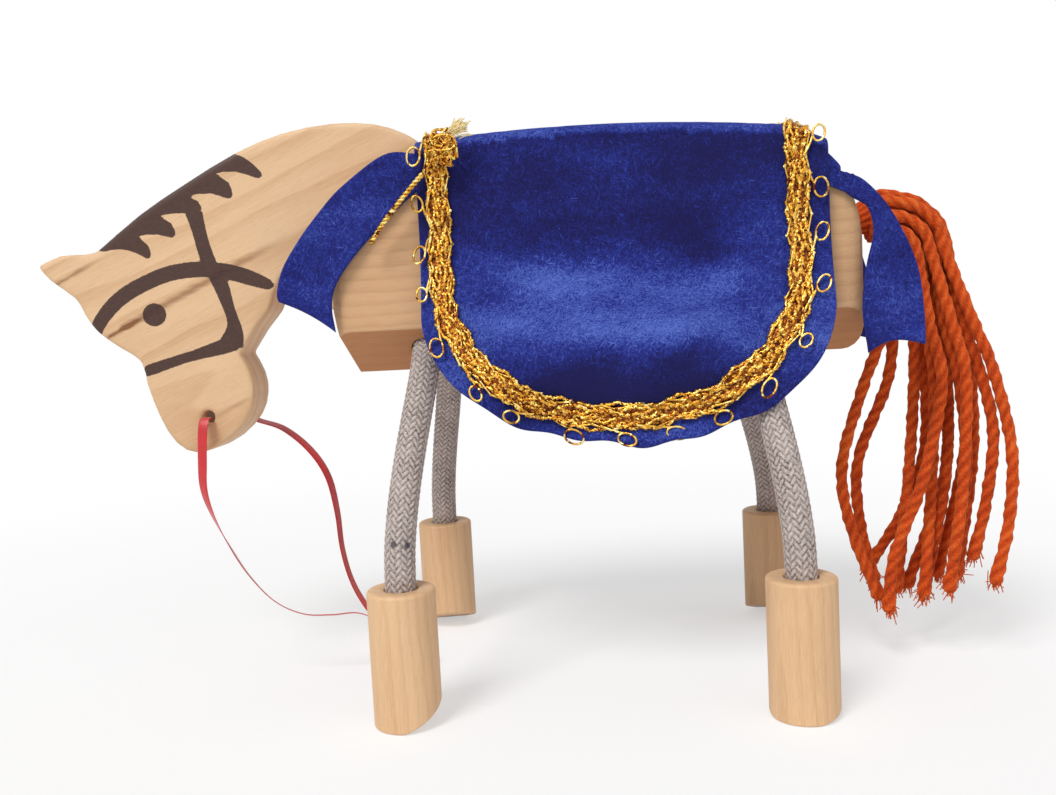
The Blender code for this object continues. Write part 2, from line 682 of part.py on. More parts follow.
def build_braid(frame):
    """The flat gold braid, a closed band that lies on the saddle cloth."""
    path = braid_path()
    count = len(path)
    points = []
    for index in range(count):
        x, reach = path[index]
        here = saddle_point(x, reach)
        before = saddle_point(*path[index - 1])
        after = saddle_point(*path[(index + 1) % count])
        normal = saddle_normal(x, reach)
        side = normal.cross(after - before).normalized() * (BRAID_WIDTH / 2)
        low = here + normal * (FELT / 2 + BRAID_GAP)
        high = low + normal * BRAID_THICKNESS
        points += [low - side, low + side, high + side, high - side]
    faces = []
    for index in range(count):
        base, after = index * 4, ((index + 1) % count) * 4
        for corner in range(4):
            second = (corner + 1) % 4
            faces.append([base + corner, base + second, after + second, after + corner])
    linked("gold_braid", shade(mesh_from("gold_braid", points, faces), 50), frame, GOLD, 0.35, 0.9)


def build_braid_ends(frame):
    """The gathered end of the braid at the withers."""
    corner = TOP_RUN + CORNER_RUN * 0.5
    normal = saddle_normal(BRAID_FRONT, corner)
    seat = saddle_point(BRAID_FRONT, corner) + normal * (FELT / 2 + BRAID_GAP + BRAID_THICKNESS + GAP)
    centre = seat + normal * BRAID_KNOT_SIZE[2] * 0.97 + Vector((2.4, 0, 0))
    turn = Vector((0, 0, 1)).rotation_difference(normal).to_matrix().to_4x4()
    knot = ellipsoid_mesh("braid_knot", (0, 0, 0), BRAID_KNOT_SIZE, 8, 12)
    knot.transform(Matrix.Translation(centre * MM) @ turn)
    linked("braid_knot", shade(knot, 60), frame, GOLD, 0.35, 0.9)


def cloth_lobes(name, frame, lobe, bridge):
    """A felt strip that crosses the block's back and hangs down both sides in shaped lobes."""
    low, high = bridge
    steps = 8
    over = []
    for step in range(steps + 1):
        x = low + (high - low) * step / steps
        over.append((x, back_height(x) + GAP + FELT))
    under = [(x, z - FELT) for x, z in over]
    piece = linked(name, prism(name, lobe(over), -LOBE_OUTER, LOBE_OUTER, along_y), frame, FELT_BLUE, 0.95)
    far = 40.0
    inside = [(low - 60, BLOCK_FLOOR - far)] + [(low - 60, over[0][1] + far), (low - 0.01, over[0][1] + far),
                                                (low - 0.01, under[0][1])]
    inside += under[1:-1]
    inside += [(high + 0.01, under[-1][1]), (high + 0.01, over[-1][1] + far), (high + 60, over[-1][1] + far),
               (high + 60, BLOCK_FLOOR - far)]
    cut(piece, prism(f"inside_{name}", inside, -BLOCK_SIDE_GAP, BLOCK_SIDE_GAP, along_y))
    return piece


def chest_lobe(over):
    """Side outline of the chest cloth: over the withers, then forwards and down to the chest."""
    outer = smooth_through([over[0], (-48.4, 134.0), (-59.2, 127.1), (-65.8, 120.5), (-71.5, 114.0),
                            (-75.2, 108.2), (-76.7, 102.2)], 2)
    inner = smooth_through([(-62.8, 91.8), (-63.6, 98.5), (-61.6, 104.5), (-54.9, 112.6), (-48.9, 118.2),
                            (-41.0, 124.8), (over[-1][0], 127.5)], 2)
    tip = [(-76.4, 99.9), (-70.7, 96.7), (-65.3, 91.9)]
    return [tuple(p) for p in reversed(over)] + [tuple(p) for p in outer[1:]] + tip + \
        [tuple(p) for p in inner]


def rump_lobe(over):
    """Side outline of the rump cloth: over the rump, then backwards and down beside the tail."""
    outer = smooth_through([over[-1], (64.1, 121.1), (70.7, 113.1), (75.3, 102.4), (RUMP_LOBE_X, 92.6),
                            (76.9, 82.1)], 2)
    inner = smooth_through([(64.0, 80.6), (63.1, 90.3), (64.3, 101.1), (66.0, 110.0), (63.6, 116.6),
                            (56.0, 120.4), (over[0][0], 121.5)], 2)
    tip = [(69.0, 82.6)]
    return [tuple(p) for p in over] + [tuple(p) for p in outer[1:]] + tip + [tuple(p) for p in inner]


def cord(name, frame, route, radius, count, colour, roughness):
    """A cord: a round tube along the smooth curve through its route, after a short straight start."""
    spaced = [Vector(route[0])] + evenly(smooth_through(route[1:], 12), count)
    curve = bpy.data.curves.new(name, "CURVE")
    curve.dimensions = "3D"
    curve.bevel_depth = radius * MM
    curve.bevel_resolution = 2
    curve.use_fill_caps = True
    spline = curve.splines.new("POLY")
    spline.points.add(len(spaced) - 1)
    for point, place in zip(spline.points, spaced):
        point.co = (*(place * MM), 1.0)
    piece = bpy.data.objects.new(name, curve)
    bpy.context.collection.objects.link(piece)
    piece.parent = frame
    curve.materials.append(finish(name, colour, roughness))


# Ribbon routes, from the muzzle hole to the knot on the floor between the front hooves
REIN_LEFT = [(-103.1, -6.9, 71.0), (-103.2, -8.8, 70.6), (-103.5, -9.9, 67.6), (-104.1, -10.0, 60.0),
             (-104.4, -9.8, 52.5), (-102.6, -9.5, 45.2), (-98.9, -9.0, 36.8), (-94.2, -8.5, 28.4),
             (-88.2, -7.7, 21.2), (-81.0, -6.8, 17.3), (-73.5, -6.0, 16.6), (-66.5, -5.1, 16.6),
             (-60.6, -4.2, 13.4), (-56.4, -3.0, 8.2), (-53.2, -1.9, 4.4), (-50.5, -0.9, 2.9)]
REIN_RIGHT = [(-103.1, 6.9, 71.0), (-102.6, 9.0, 70.9), (-100.0, 10.0, 70.2), (-94.9, 9.9, 68.1),
              (-88.0, 9.6, 65.5), (-80.9, 9.1, 59.4), (-76.2, 8.6, 51.8), (-74.1, 8.0, 42.0),
              (-73.1, 7.2, 31.6), (-70.8, 6.4, 22.6), (-66.8, 5.6, 15.2), (-61.0, 4.6, 9.0),
              (-55.6, 3.6, 5.2), (-50.9, 2.4, 3.2)]

# Loose thread, from the braid's edge over the chest cloth
THREAD = [(-40.2, -24.0, 127.6), (-42.2, -24.6, 124.8), (-45.6, -24.6, 121.2), (-49.2, -24.0, 117.2),
          (-52.6, -23.6, 112.6)]

# Tail strands by lane, front strand first, each as (x, z) places below its first bend
TAIL_LANES = [
    [[(83.5, 86.0), (86.0, 71.0), (80.5, 47.0), (73.5, 28.0), (71.5, 13.0)],
     [(89.0, 86.0), (92.0, 72.0), (90.0, 45.0), (86.3, 18.0)],
     [(94.2, 86.0), (98.6, 74.0), (103.0, 54.0), (101.4, 36.0), (97.0, 20.0)]],
    [[(74.5, 88.0), (67.5, 70.0), (61.8, 50.0), (64.0, 33.0), (70.6, 15.5)],
     [(84.0, 86.0), (85.5, 70.0), (84.6, 44.0), (81.4, 16.0)],
     [(88.4, 86.0), (91.2, 74.0), (93.0, 50.0), (90.2, 20.0)],
     [(93.0, 86.0), (96.8, 74.0), (99.6, 58.0), (97.2, 40.0), (94.0, 25.0)]],
    [[(77.0, 88.0), (75.0, 72.0), (67.5, 52.0), (67.4, 36.0), (70.8, 18.0)],
     [(82.0, 86.0), (81.6, 70.0), (79.6, 46.0), (76.6, 15.0)],
     [(87.0, 86.0), (90.0, 74.0), (89.0, 46.0), (83.0, 14.0)],
     [(92.0, 86.0), (95.6, 74.0), (96.8, 52.0), (91.4, 19.6)]],
    [[(83.0, 88.0), (85.6, 74.0), (85.0, 52.0), (78.2, 34.0), (69.6, 20.0)],
     [(88.0, 86.0), (91.0, 74.0), (90.6, 46.0), (80.0, 15.4)],
     [(92.5, 86.0), (96.0, 74.0), (96.0, 50.0), (88.0, 17.8)]],
]


def strand_route(lane, order, count, places):
    """A tail strand: straight out of the gathered end, round a bend that all share, then its own places."""
    hinge_x, _, hinge_z = TAIL_HINGE
    lane_y = (lane - (len(TAIL_LANES) - 1) / 2) * STRAND_PITCH
    root_z = hinge_z + (order - (count - 1) / 2) * STRAND_PITCH
    root_x = hinge_x + TAIL_PLATE_BACK + GAP
    bend_x = root_x + STRAND_LEAD
    radius = root_z - BEND_CENTRE
    route = [(root_x, lane_y, root_z)]
    for angle in (90, 60, 30, 0):
        x = bend_x + radius * math.cos(math.radians(angle))
        z = BEND_CENTRE + radius * math.sin(math.radians(angle))
        route.append((x, lane_y, z))
    floor = places[-1][1]
    for x, z in places:
        depth = (BEND_CENTRE - z) / (BEND_CENTRE - floor)
        route.append((x, lane_y * (1 + STRAND_SPLAY * depth), z))
    return route


def build_tail(frame):
    """Glued plug, gathered end and free strands of the yarn tail."""
    hinge = Vector(TAIL_HINGE)
    mouth = tail_mouth_x()
    plug = cylinder_mesh("tail_plug", (mouth - TAIL_BORE_DEPTH + GAP, 0, hinge.z),
                         (hinge.x - TAIL_BALL - GAP, 0, hinge.z), TAIL_PLUG_RADIUS, 16)
    linked("tail_plug", shade(plug), frame, YARN, 0.9)
    deep, wide, high = TAIL_PLATE
    plate = [(-wide / 2, -high / 2 + 3), (-wide / 2 + 3, -high / 2), (wide / 2 - 3, -high / 2),
             (wide / 2, -high / 2 + 3), (wide / 2, high / 2 - 3), (wide / 2 - 3, high / 2),
             (-wide / 2 + 3, high / 2), (-wide / 2, high / 2 - 3)]
    plate = [(y, z + hinge.z) for y, z in plate]
    back = hinge.x + TAIL_PLATE_BACK
    knot = linked("tail_knot", ellipsoid_mesh("tail_knot", hinge, (TAIL_BALL,) * 3, 8, 12), frame, YARN, 0.9)
    cut(knot, prism("gathered_end", plate, back - deep, back, along_x), "UNION")
    cut(knot, prism("knot_back", [(-20, 80), (20, 80), (20, 140), (-20, 140)], back, back + 20, along_x))
    for lane, strands in enumerate(TAIL_LANES):
        for order, places in enumerate(strands):
            route = strand_route(lane, order, len(strands), places)
            cord(f"tail_strand_{lane + 1}_{order + 1}", frame, route, STRAND_RADIUS, 18, YARN, 0.9)


def build_reins(frame):
    """The ribbon's two runs and its knot."""
    cord("rein_left", frame, REIN_LEFT, RIBBON_RADIUS, 26, RIBBON_RED, 0.4)
    cord("rein_right", frame, REIN_RIGHT, RIBBON_RADIUS, 26, RIBBON_RED, 0.4)
    knot = ellipsoid_mesh("rein_knot", REIN_KNOT_AT, REIN_KNOT_SIZE, 8, 12)
    linked("rein_knot", shade(knot, 60), frame, RIBBON_RED, 0.4)


def main():
    """Build the whole horse."""
    clear_scene()
    frame = bpy.data.objects.new("horse_frame", None)
    bpy.context.collection.objects.link(frame)
    frame.location = (ORIGIN_X * MM, 0, 0)
    build_block(frame)
    build_head(frame)
    for name, values in LEGS.items():
        build_leg(frame, name, *values)
    build_saddle_cloth(frame)
    cloth_lobes("chest_cloth", frame, chest_lobe, CHEST_BRIDGE)
    cloth_lobes("rump_cloth", frame, rump_lobe, RUMP_BRIDGE)
    build_braid(frame)
    build_braid_ends(frame)
    cord("braid_thread", frame, THREAD, THREAD_RADIUS, 9, GOLD, 0.35)
    build_reins(frame)
    build_tail(frame)


main()
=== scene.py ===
"""Looks of the toy horse: wooden body and painted head, rope legs, felt cloths, gold braid, yarn tail, ribbon rein.

Shapes are worked out in millimetres in the horse's own coordinates: x from the middle of the body block towards
the tail, y to the horse's right, z up from the floor. ``Body.place`` carries them to the shared frame in metres.
"""

from __future__ import annotations

import json
import logging
import math
from dataclasses import dataclass, field
from enum import Enum

import bmesh
import bpy
import numpy as np
from mathutils import Matrix, Vector

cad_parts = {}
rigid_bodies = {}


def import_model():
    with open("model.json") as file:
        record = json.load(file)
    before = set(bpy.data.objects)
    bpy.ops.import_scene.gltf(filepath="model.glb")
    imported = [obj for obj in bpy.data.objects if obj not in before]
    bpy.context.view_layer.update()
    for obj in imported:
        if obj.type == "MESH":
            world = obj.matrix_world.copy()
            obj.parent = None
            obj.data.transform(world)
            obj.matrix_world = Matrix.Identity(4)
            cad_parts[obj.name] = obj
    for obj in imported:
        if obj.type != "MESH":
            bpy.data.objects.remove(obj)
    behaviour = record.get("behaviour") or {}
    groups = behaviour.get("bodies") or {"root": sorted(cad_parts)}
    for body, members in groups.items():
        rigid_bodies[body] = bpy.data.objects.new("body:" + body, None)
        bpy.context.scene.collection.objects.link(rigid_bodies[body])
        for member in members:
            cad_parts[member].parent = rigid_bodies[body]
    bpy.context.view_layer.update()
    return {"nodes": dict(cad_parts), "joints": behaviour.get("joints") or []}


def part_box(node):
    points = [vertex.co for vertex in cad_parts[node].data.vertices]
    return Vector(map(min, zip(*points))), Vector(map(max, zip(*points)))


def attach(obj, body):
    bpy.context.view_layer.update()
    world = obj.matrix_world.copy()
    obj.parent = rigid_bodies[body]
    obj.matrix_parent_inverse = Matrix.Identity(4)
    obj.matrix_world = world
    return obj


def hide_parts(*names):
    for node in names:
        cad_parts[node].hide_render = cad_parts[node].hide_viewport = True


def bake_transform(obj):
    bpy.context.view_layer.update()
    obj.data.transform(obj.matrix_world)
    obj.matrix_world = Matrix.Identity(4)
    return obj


Array = np.ndarray
Triple = tuple[float, float, float]
Colour = Triple
Finish = bpy.types.Material
Piece = bpy.types.Object

MM = 0.001
TURN = 2 * math.pi
GAP = 0.3
FELT = 1.2
WHITE = (1.0, 1.0, 1.0, 1.0)

log = logging.getLogger("toy_horse")


class Side(Enum):
    """A side of the horse, with the sign of its y."""

    LEFT = -1
    RIGHT = 1


class Leg(Enum):
    """The four legs, by the ending of their nodes' names."""

    FRONT_LEFT = "front_left"
    FRONT_RIGHT = "front_right"
    REAR_LEFT = "rear_left"
    REAR_RIGHT = "rear_right"

    @property
    def side(self) -> Side:
        """The side that the leg stands on."""
        return Side.LEFT if self.value.endswith("left") else Side.RIGHT


class Along(Enum):
    """The axis that a piece's wood grain follows."""

    X = 0
    Z = 2


def srgb(red: int, green: int, blue: int) -> Colour:
    """A display colour, 0 to 255, as linear light."""
    shares = (red / 255, green / 255, blue / 255)
    return tuple(c / 12.92 if c <= 0.04045 else ((c + 0.055) / 1.055) ** 2.4 for c in shares)


# ---------------- arrays


def unit(vectors: Array) -> Array:
    """Vectors of length one along the last axis."""
    return vectors / np.maximum(np.linalg.norm(vectors, axis=-1, keepdims=True), 1e-12)


def smoothstep(low: float, high: float, value: Array) -> Array:
    """Ease from 0 at low to 1 at high: 3 t squared minus 2 t cubed."""
    share = np.clip((value - low) / (high - low), 0.0, 1.0)
    return share * share * (3 - 2 * share)


def smooth_through(points: Array | list, per_span: int) -> Array:
    """Points on the Catmull-Rom curve through the given ones.

    Args:
        points: control points, one per row.
        per_span: samples in each span.

    Returns:
        The curve's points; each span is the cubic blend of its four neighbours.
    """
    fixed = np.asarray(points, float)
    path = np.vstack([2 * fixed[0] - fixed[1], fixed, 2 * fixed[-1] - fixed[-2]])
    t = (np.arange(per_span) / per_span)[None, :, None]
    p0, p1, p2, p3 = (path[k:len(path) - 3 + k][:, None, :] for k in range(4))
    spans = 0.5 * (2 * p1 + (p2 - p0) * t + (2 * p0 - 5 * p1 + 4 * p2 - p3) * t ** 2
                   + (3 * p1 - p0 - 3 * p2 + p3) * t ** 3)
    return np.vstack([spans.reshape(-1, fixed.shape[1]), fixed[-1]])


def arc_lengths(line: Array) -> Array:
    """Distance along a line at each of its points."""
    return np.concatenate([[0.0], np.cumsum(np.linalg.norm(np.diff(line, axis=0), axis=1))])


def evenly(line: Array, count: int) -> Array:
    """The line again, as count points at even distances.

    Args:
        line: points of the line, one per row.
        count: how many points to make.

    Returns:
        The new points.
    """
    along = arc_lengths(line)
    at = np.linspace(0.0, along[-1], count)
    return np.stack([np.interp(at, along, line[:, k]) for k in range(line.shape[1])], axis=1)


def tangents(line: Array, closed: bool = False) -> Array:
    """Unit directions along a line, from its neighbours on both sides.

    Args:
        line: points of the line, one per row.
        closed: whether its last point is next to its first.

    Returns:
        One direction for each point.
    """
    if closed:
        return unit(np.roll(line, -1, axis=0) - np.roll(line, 1, axis=0))
    return unit(np.gradient(line, axis=0))


def frames(line: Array, reference: Triple) -> tuple[Array, Array]:
    """Two unit vectors across a line at each point.

    Args:
        line: points of the line; leading axes may count several lines.
        reference: the first vector is this one with its part along the line taken away.

    Returns:
        The first vectors, and the line's directions crossed with them.
    """
    along = unit(np.gradient(line, axis=-2))
    ref = np.asarray(reference, float)
    first = unit(ref - along * (along @ ref)[..., None])
    return first, np.cross(along, first)


def transported(line: Array, first: Triple) -> tuple[Array, Array]:
    """Frames that turn about a line as little as they can, each the last one brought square to the next direction.

    Args:
        line: points of the line, one per row.
        first: the first frame starts from this direction.

    Returns:
        Two unit vectors across the line at each point.
    """
    along = tangents(line)
    across = [unit(np.asarray(first, float) - along[0] * (along[0] @ np.asarray(first, float)))]
    for direction in along[1:]:
        across.append(unit(across[-1] - direction * (direction @ across[-1])))
    ways = np.array(across)
    return ways, np.cross(along, ways)


def ring_angles(sides: int, *rings: int) -> Array:
    """Angles round a ring of so many sides, the same for every ring."""
    return np.broadcast_to(np.arange(sides) / sides * TURN, (*rings, sides))


def sweep(line: Array, first: Array, second: Array, along_first: Array, along_second: Array) -> Array:
    """Rings round a line: point + first * offset + second * offset, for every pair of offsets at a station."""
    return (line[..., :, None, :] + first[..., :, None, :] * along_first[..., None]
            + second[..., :, None, :] * along_second[..., None])


def round_rings(line: Array, first: Array, second: Array, radius: Array | float, sides: int) -> Array:
    """Rings round a line at a radius: point + radius * (first * cosine + second * sine) of each side's angle.

    Args:
        line: points of the line; leading axes may count several lines.
        first: unit vectors across it.
        second: unit vectors square to those and to the line.
        radius: one for all, or one for each side at each point.
        sides: points in a ring.

    Returns:
        The rings' points.
    """
    angle = ring_angles(sides, *line.shape[:-1])
    return sweep(line, first, second, radius * np.cos(angle), radius * np.sin(angle))


def grid_quads(rows: int, columns: int, wrap_rows: bool = False, wrap_columns: bool = False) -> Array:
    """Quads of a grid whose points are numbered row by row, joined round where it wraps.

    Args:
        rows: rows of points.
        columns: points in a row.
        wrap_rows: whether the last row joins the first.
        wrap_columns: whether a row's last point joins its first.

    Returns:
        Four point numbers for each quad.
    """
    i = np.arange(rows if wrap_rows else rows - 1)[:, None]
    j = np.arange(columns if wrap_columns else columns - 1)[None, :]
    up, right = (i + 1) % rows, (j + 1) % columns
    corners = np.broadcast_arrays(i * columns + j, i * columns + right, up * columns + right, up * columns + j)
    return np.stack(corners, axis=-1).reshape(-1, 4)


def polygon_distance(points: Array, outline: Array) -> Array:
    """Signed distance of points to a closed outline, negative inside by the even-odd rule.

    Args:
        points: points in the plane, one per row.
        outline: the outline's corners in order.

    Returns:
        One distance for each point.
    """
    a, b = outline, np.roll(outline, -1, axis=0)
    edge = b - a
    to_point = points[:, None, :] - a[None]
    share = np.clip((to_point * edge).sum(-1) / np.maximum((edge * edge).sum(-1), 1e-12), 0.0, 1.0)
    distance = np.linalg.norm(to_point - share[..., None] * edge, axis=-1).min(axis=1)
    px, pz = points[:, :1], points[:, 1:]
    spans = (a[:, 1] > pz) != (b[:, 1] > pz)
    height = np.where(np.abs(edge[:, 1]) < 1e-12, 1e-12, edge[:, 1])
    crossing = spans & (px < a[:, 0] + (pz - a[:, 1]) * edge[:, 0] / height)
    inside = crossing.sum(axis=1) % 2 == 1
    return np.where(inside, -distance, distance)


# ---------------- shaders


@dataclass(frozen=True)
class Wire:
    """A shader socket that takes part in arithmetic; each operator adds a Math node."""

    shader: Nodes
    socket: bpy.types.NodeSocket

    def math(self, operation: str, *others: Wire | float, swap: bool = False) -> Wire:
        """A Math node on this value and others, in swapped order if asked.

        Args:
            operation: the node's operation.
            others: the other values.
            swap: whether this value comes last.

        Returns:
            The result.
        """
        values = [self, *others]
        if swap:
            values = values[::-1]
        return self.shader.node("ShaderNodeMath", {"operation": operation}, dict(enumerate(values)))

    def __add__(self, other: Wire | float) -> Wire:
        """Sum."""
        return self.math("ADD", other)

    def __sub__(self, other: Wire | float) -> Wire:
        """Difference."""
        return self.math("SUBTRACT", other)

    def __mul__(self, other: Wire | float) -> Wire:
        """Product."""
        return self.math("MULTIPLY", other)

    def __truediv__(self, other: Wire | float) -> Wire:
        """Quotient."""
        return self.math("DIVIDE", other)

    def __rsub__(self, other: float) -> Wire:
        """A number minus this."""
        return self.math("SUBTRACT", other, swap=True)

    __radd__ = __add__
    __rmul__ = __mul__

    def between(self, low: float, high: float) -> Wire:
        """Smooth step from 0 at low to 1 at high.

        Args:
            low: value at which the step starts.
            high: value at which it ends.

        Returns:
            The step.
        """
        return self.shader.node(
            "ShaderNodeMapRange", {"interpolation_type": "SMOOTHSTEP"},
            {"Value": self, "From Min": low, "From Max": high, "To Min": 0.0, "To Max": 1.0})


class Nodes:
    """A node tree under construction."""

    def __init__(self, tree: bpy.types.NodeTree) -> None:
        """Start from an empty tree."""
        self.tree = tree
        tree.nodes.clear()

    def node(self, kind: str, settings: dict | None = None, inputs: dict | None = None,
             output: int | str = 0) -> Wire:
        """Add one node.

        Args:
            kind: the node's type name.
            settings: its own settings, set first; "stops" gives a ramp's (position, colour) pairs.
            inputs: values or wires by socket name or number.
            output: which output to hand back.

        Returns:
            That output as a wire.
        """
        made = self.tree.nodes.new(kind)
        for key, value in (settings or {}).items():
            if key == "stops":
                self._set_stops(made.color_ramp, value)
            else:
                setattr(made, key, value)
        for key, value in (inputs or {}).items():
            if isinstance(value, Wire):
                self.tree.links.new(value.socket, made.inputs[key])
            else:
                made.inputs[key].default_value = value
        return Wire(self, made.outputs[output])

    @staticmethod
    def _set_stops(ramp: bpy.types.ColorRamp, stops: list[tuple[float, Colour]]) -> None:
        """Give a colour ramp its stops.

        Args:
            ramp: the ramp.
            stops: positions with their colours.
        """
        while len(ramp.elements) < len(stops):
            ramp.elements.new(1.0)
        for element, (position, colour) in zip(ramp.elements, stops):
            element.position = position
            element.color = (*colour, 1.0)

    def seen(self) -> Wire:
        """One for rays that show a surface as it is: from the camera, reflected or let through.

        Returns:
            1 for those rays, 0 for others.
        """
        rays = [self.node("ShaderNodeLightPath", output=ray)
                for ray in ("Is Camera Ray", "Is Glossy Ray", "Is Transmission Ray")]
        return rays[0].math("MAXIMUM", rays[1]).math("MAXIMUM", rays[2])


class Shader(Nodes):
    """A material under construction: a Principled shader and the nodes that feed it."""

    def __init__(self, name: str) -> None:
        """Start an empty material.

        Args:
            name: the material's name.
        """
        self.material = bpy.data.materials.new(name)
        self.material.use_nodes = True
        super().__init__(self.material.node_tree)
        self.surface = self.tree.nodes.new("ShaderNodeBsdfPrincipled")
        self.output = self.tree.nodes.new("ShaderNodeOutputMaterial")
        self.tree.links.new(self.surface.outputs[0], self.output.inputs["Surface"])

    def place(self, stretch: Triple = (1.0, 1.0, 1.0),
              turn: Triple = (0.0, 0.0, 0.0)) -> Wire:
        """Object coordinates in millimetres, turned by degrees and stretched.

        Args:
            stretch: factor along each axis.
            turn: degrees about each axis.

        Returns:
            The coordinates.
        """
        coordinates = self.node("ShaderNodeTexCoord", output="Object")
        return self.node("ShaderNodeMapping", {"vector_type": "TEXTURE"},
                         {"Vector": coordinates, "Rotation": tuple(math.radians(a) for a in turn),
                          "Scale": tuple(MM / s for s in stretch)})

    def noise(self, stretch: Triple, detail: float = 3.0, distortion: float = 0.0,
              turn: Triple = (0.0, 0.0, 0.0), roughness: float = 0.55) -> Wire:
        """Noise, 0 to 1, with so many waves per millimetre along each axis.

        Args:
            stretch: waves per millimetre.
            detail: how many finer layers are added.
            distortion: how far the pattern is bent.
            turn: degrees about each axis.
            roughness: strength of each finer layer against the last.

        Returns:
            The noise.
        """
        return self.node("ShaderNodeTexNoise", {"noise_dimensions": "3D"},
                         {"Vector": self.place(stretch, turn), "Scale": 1.0, "Detail": detail,
                          "Roughness": roughness, "Distortion": distortion})

    def attribute(self, name: str) -> Wire:
        """A number stored on the piece's points."""
        return self.node("ShaderNodeAttribute", {"attribute_name": name}, output="Fac")

    def axes(self, vector: Wire) -> tuple[Wire, Wire, Wire]:
        """A vector's three numbers.

        Args:
            vector: the vector.

        Returns:
            Its x, y and z.
        """
        split = self.node("ShaderNodeSeparateXYZ", None, {0: vector})
        return tuple(Wire(self, output) for output in split.socket.node.outputs)

    def mix(self, factor: Wire | float, first: Wire | Colour, second: Wire | Colour) -> Wire:
        """A colour between two, by a factor held in 0 to 1.

        Args:
            factor: 0 for the first colour, 1 for the second.
            first: one colour.
            second: the other colour.

        Returns:
            The mixed colour.
        """
        values = [value if isinstance(value, Wire) else (*value, 1.0) for value in (first, second)]
        return self.node("ShaderNodeMix", {"data_type": "RGBA", "clamp_factor": True},
                         {0: factor, 6: values[0], 7: values[1]}, output=2)

    def ramp(self, value: Wire, stops: list[tuple[float, Colour]]) -> Wire:
        """A colour looked up along stops."""
        return self.node("ShaderNodeValToRGB", {"stops": stops}, {0: value})

    def bump(self, height: Wire, depth: float, strength: float = 1.0) -> Wire:
        """A surface normal that stands for relief of that depth in millimetres."""
        return self.node("ShaderNodeBump", None,
                         {"Height": height, "Distance": depth * MM, "Strength": strength})

    def dress(self, **sockets: Wire | float | Colour) -> Finish:
        """Set the Principled shader's sockets, words joined by underscores, and hand back the material.

        Args:
            sockets: values by socket name, with underscores for its spaces.

        Returns:
            The material.
        """
        for key, value in sockets.items():
            socket = self.surface.inputs[key.replace("_", " ")]
            if isinstance(value, Wire):
                self.tree.links.new(value.socket, socket)
            elif isinstance(value, tuple):
                socket.default_value = (*value, 1.0)
            else:
                socket.default_value = value
        return self.material


@dataclass(frozen=True)
class Streak:
    """A dark mineral streak in wood, a soft line in the side view."""

    x: float
    z: float
    slope: float
    width: float
    before: float
    after: float
    strength: float


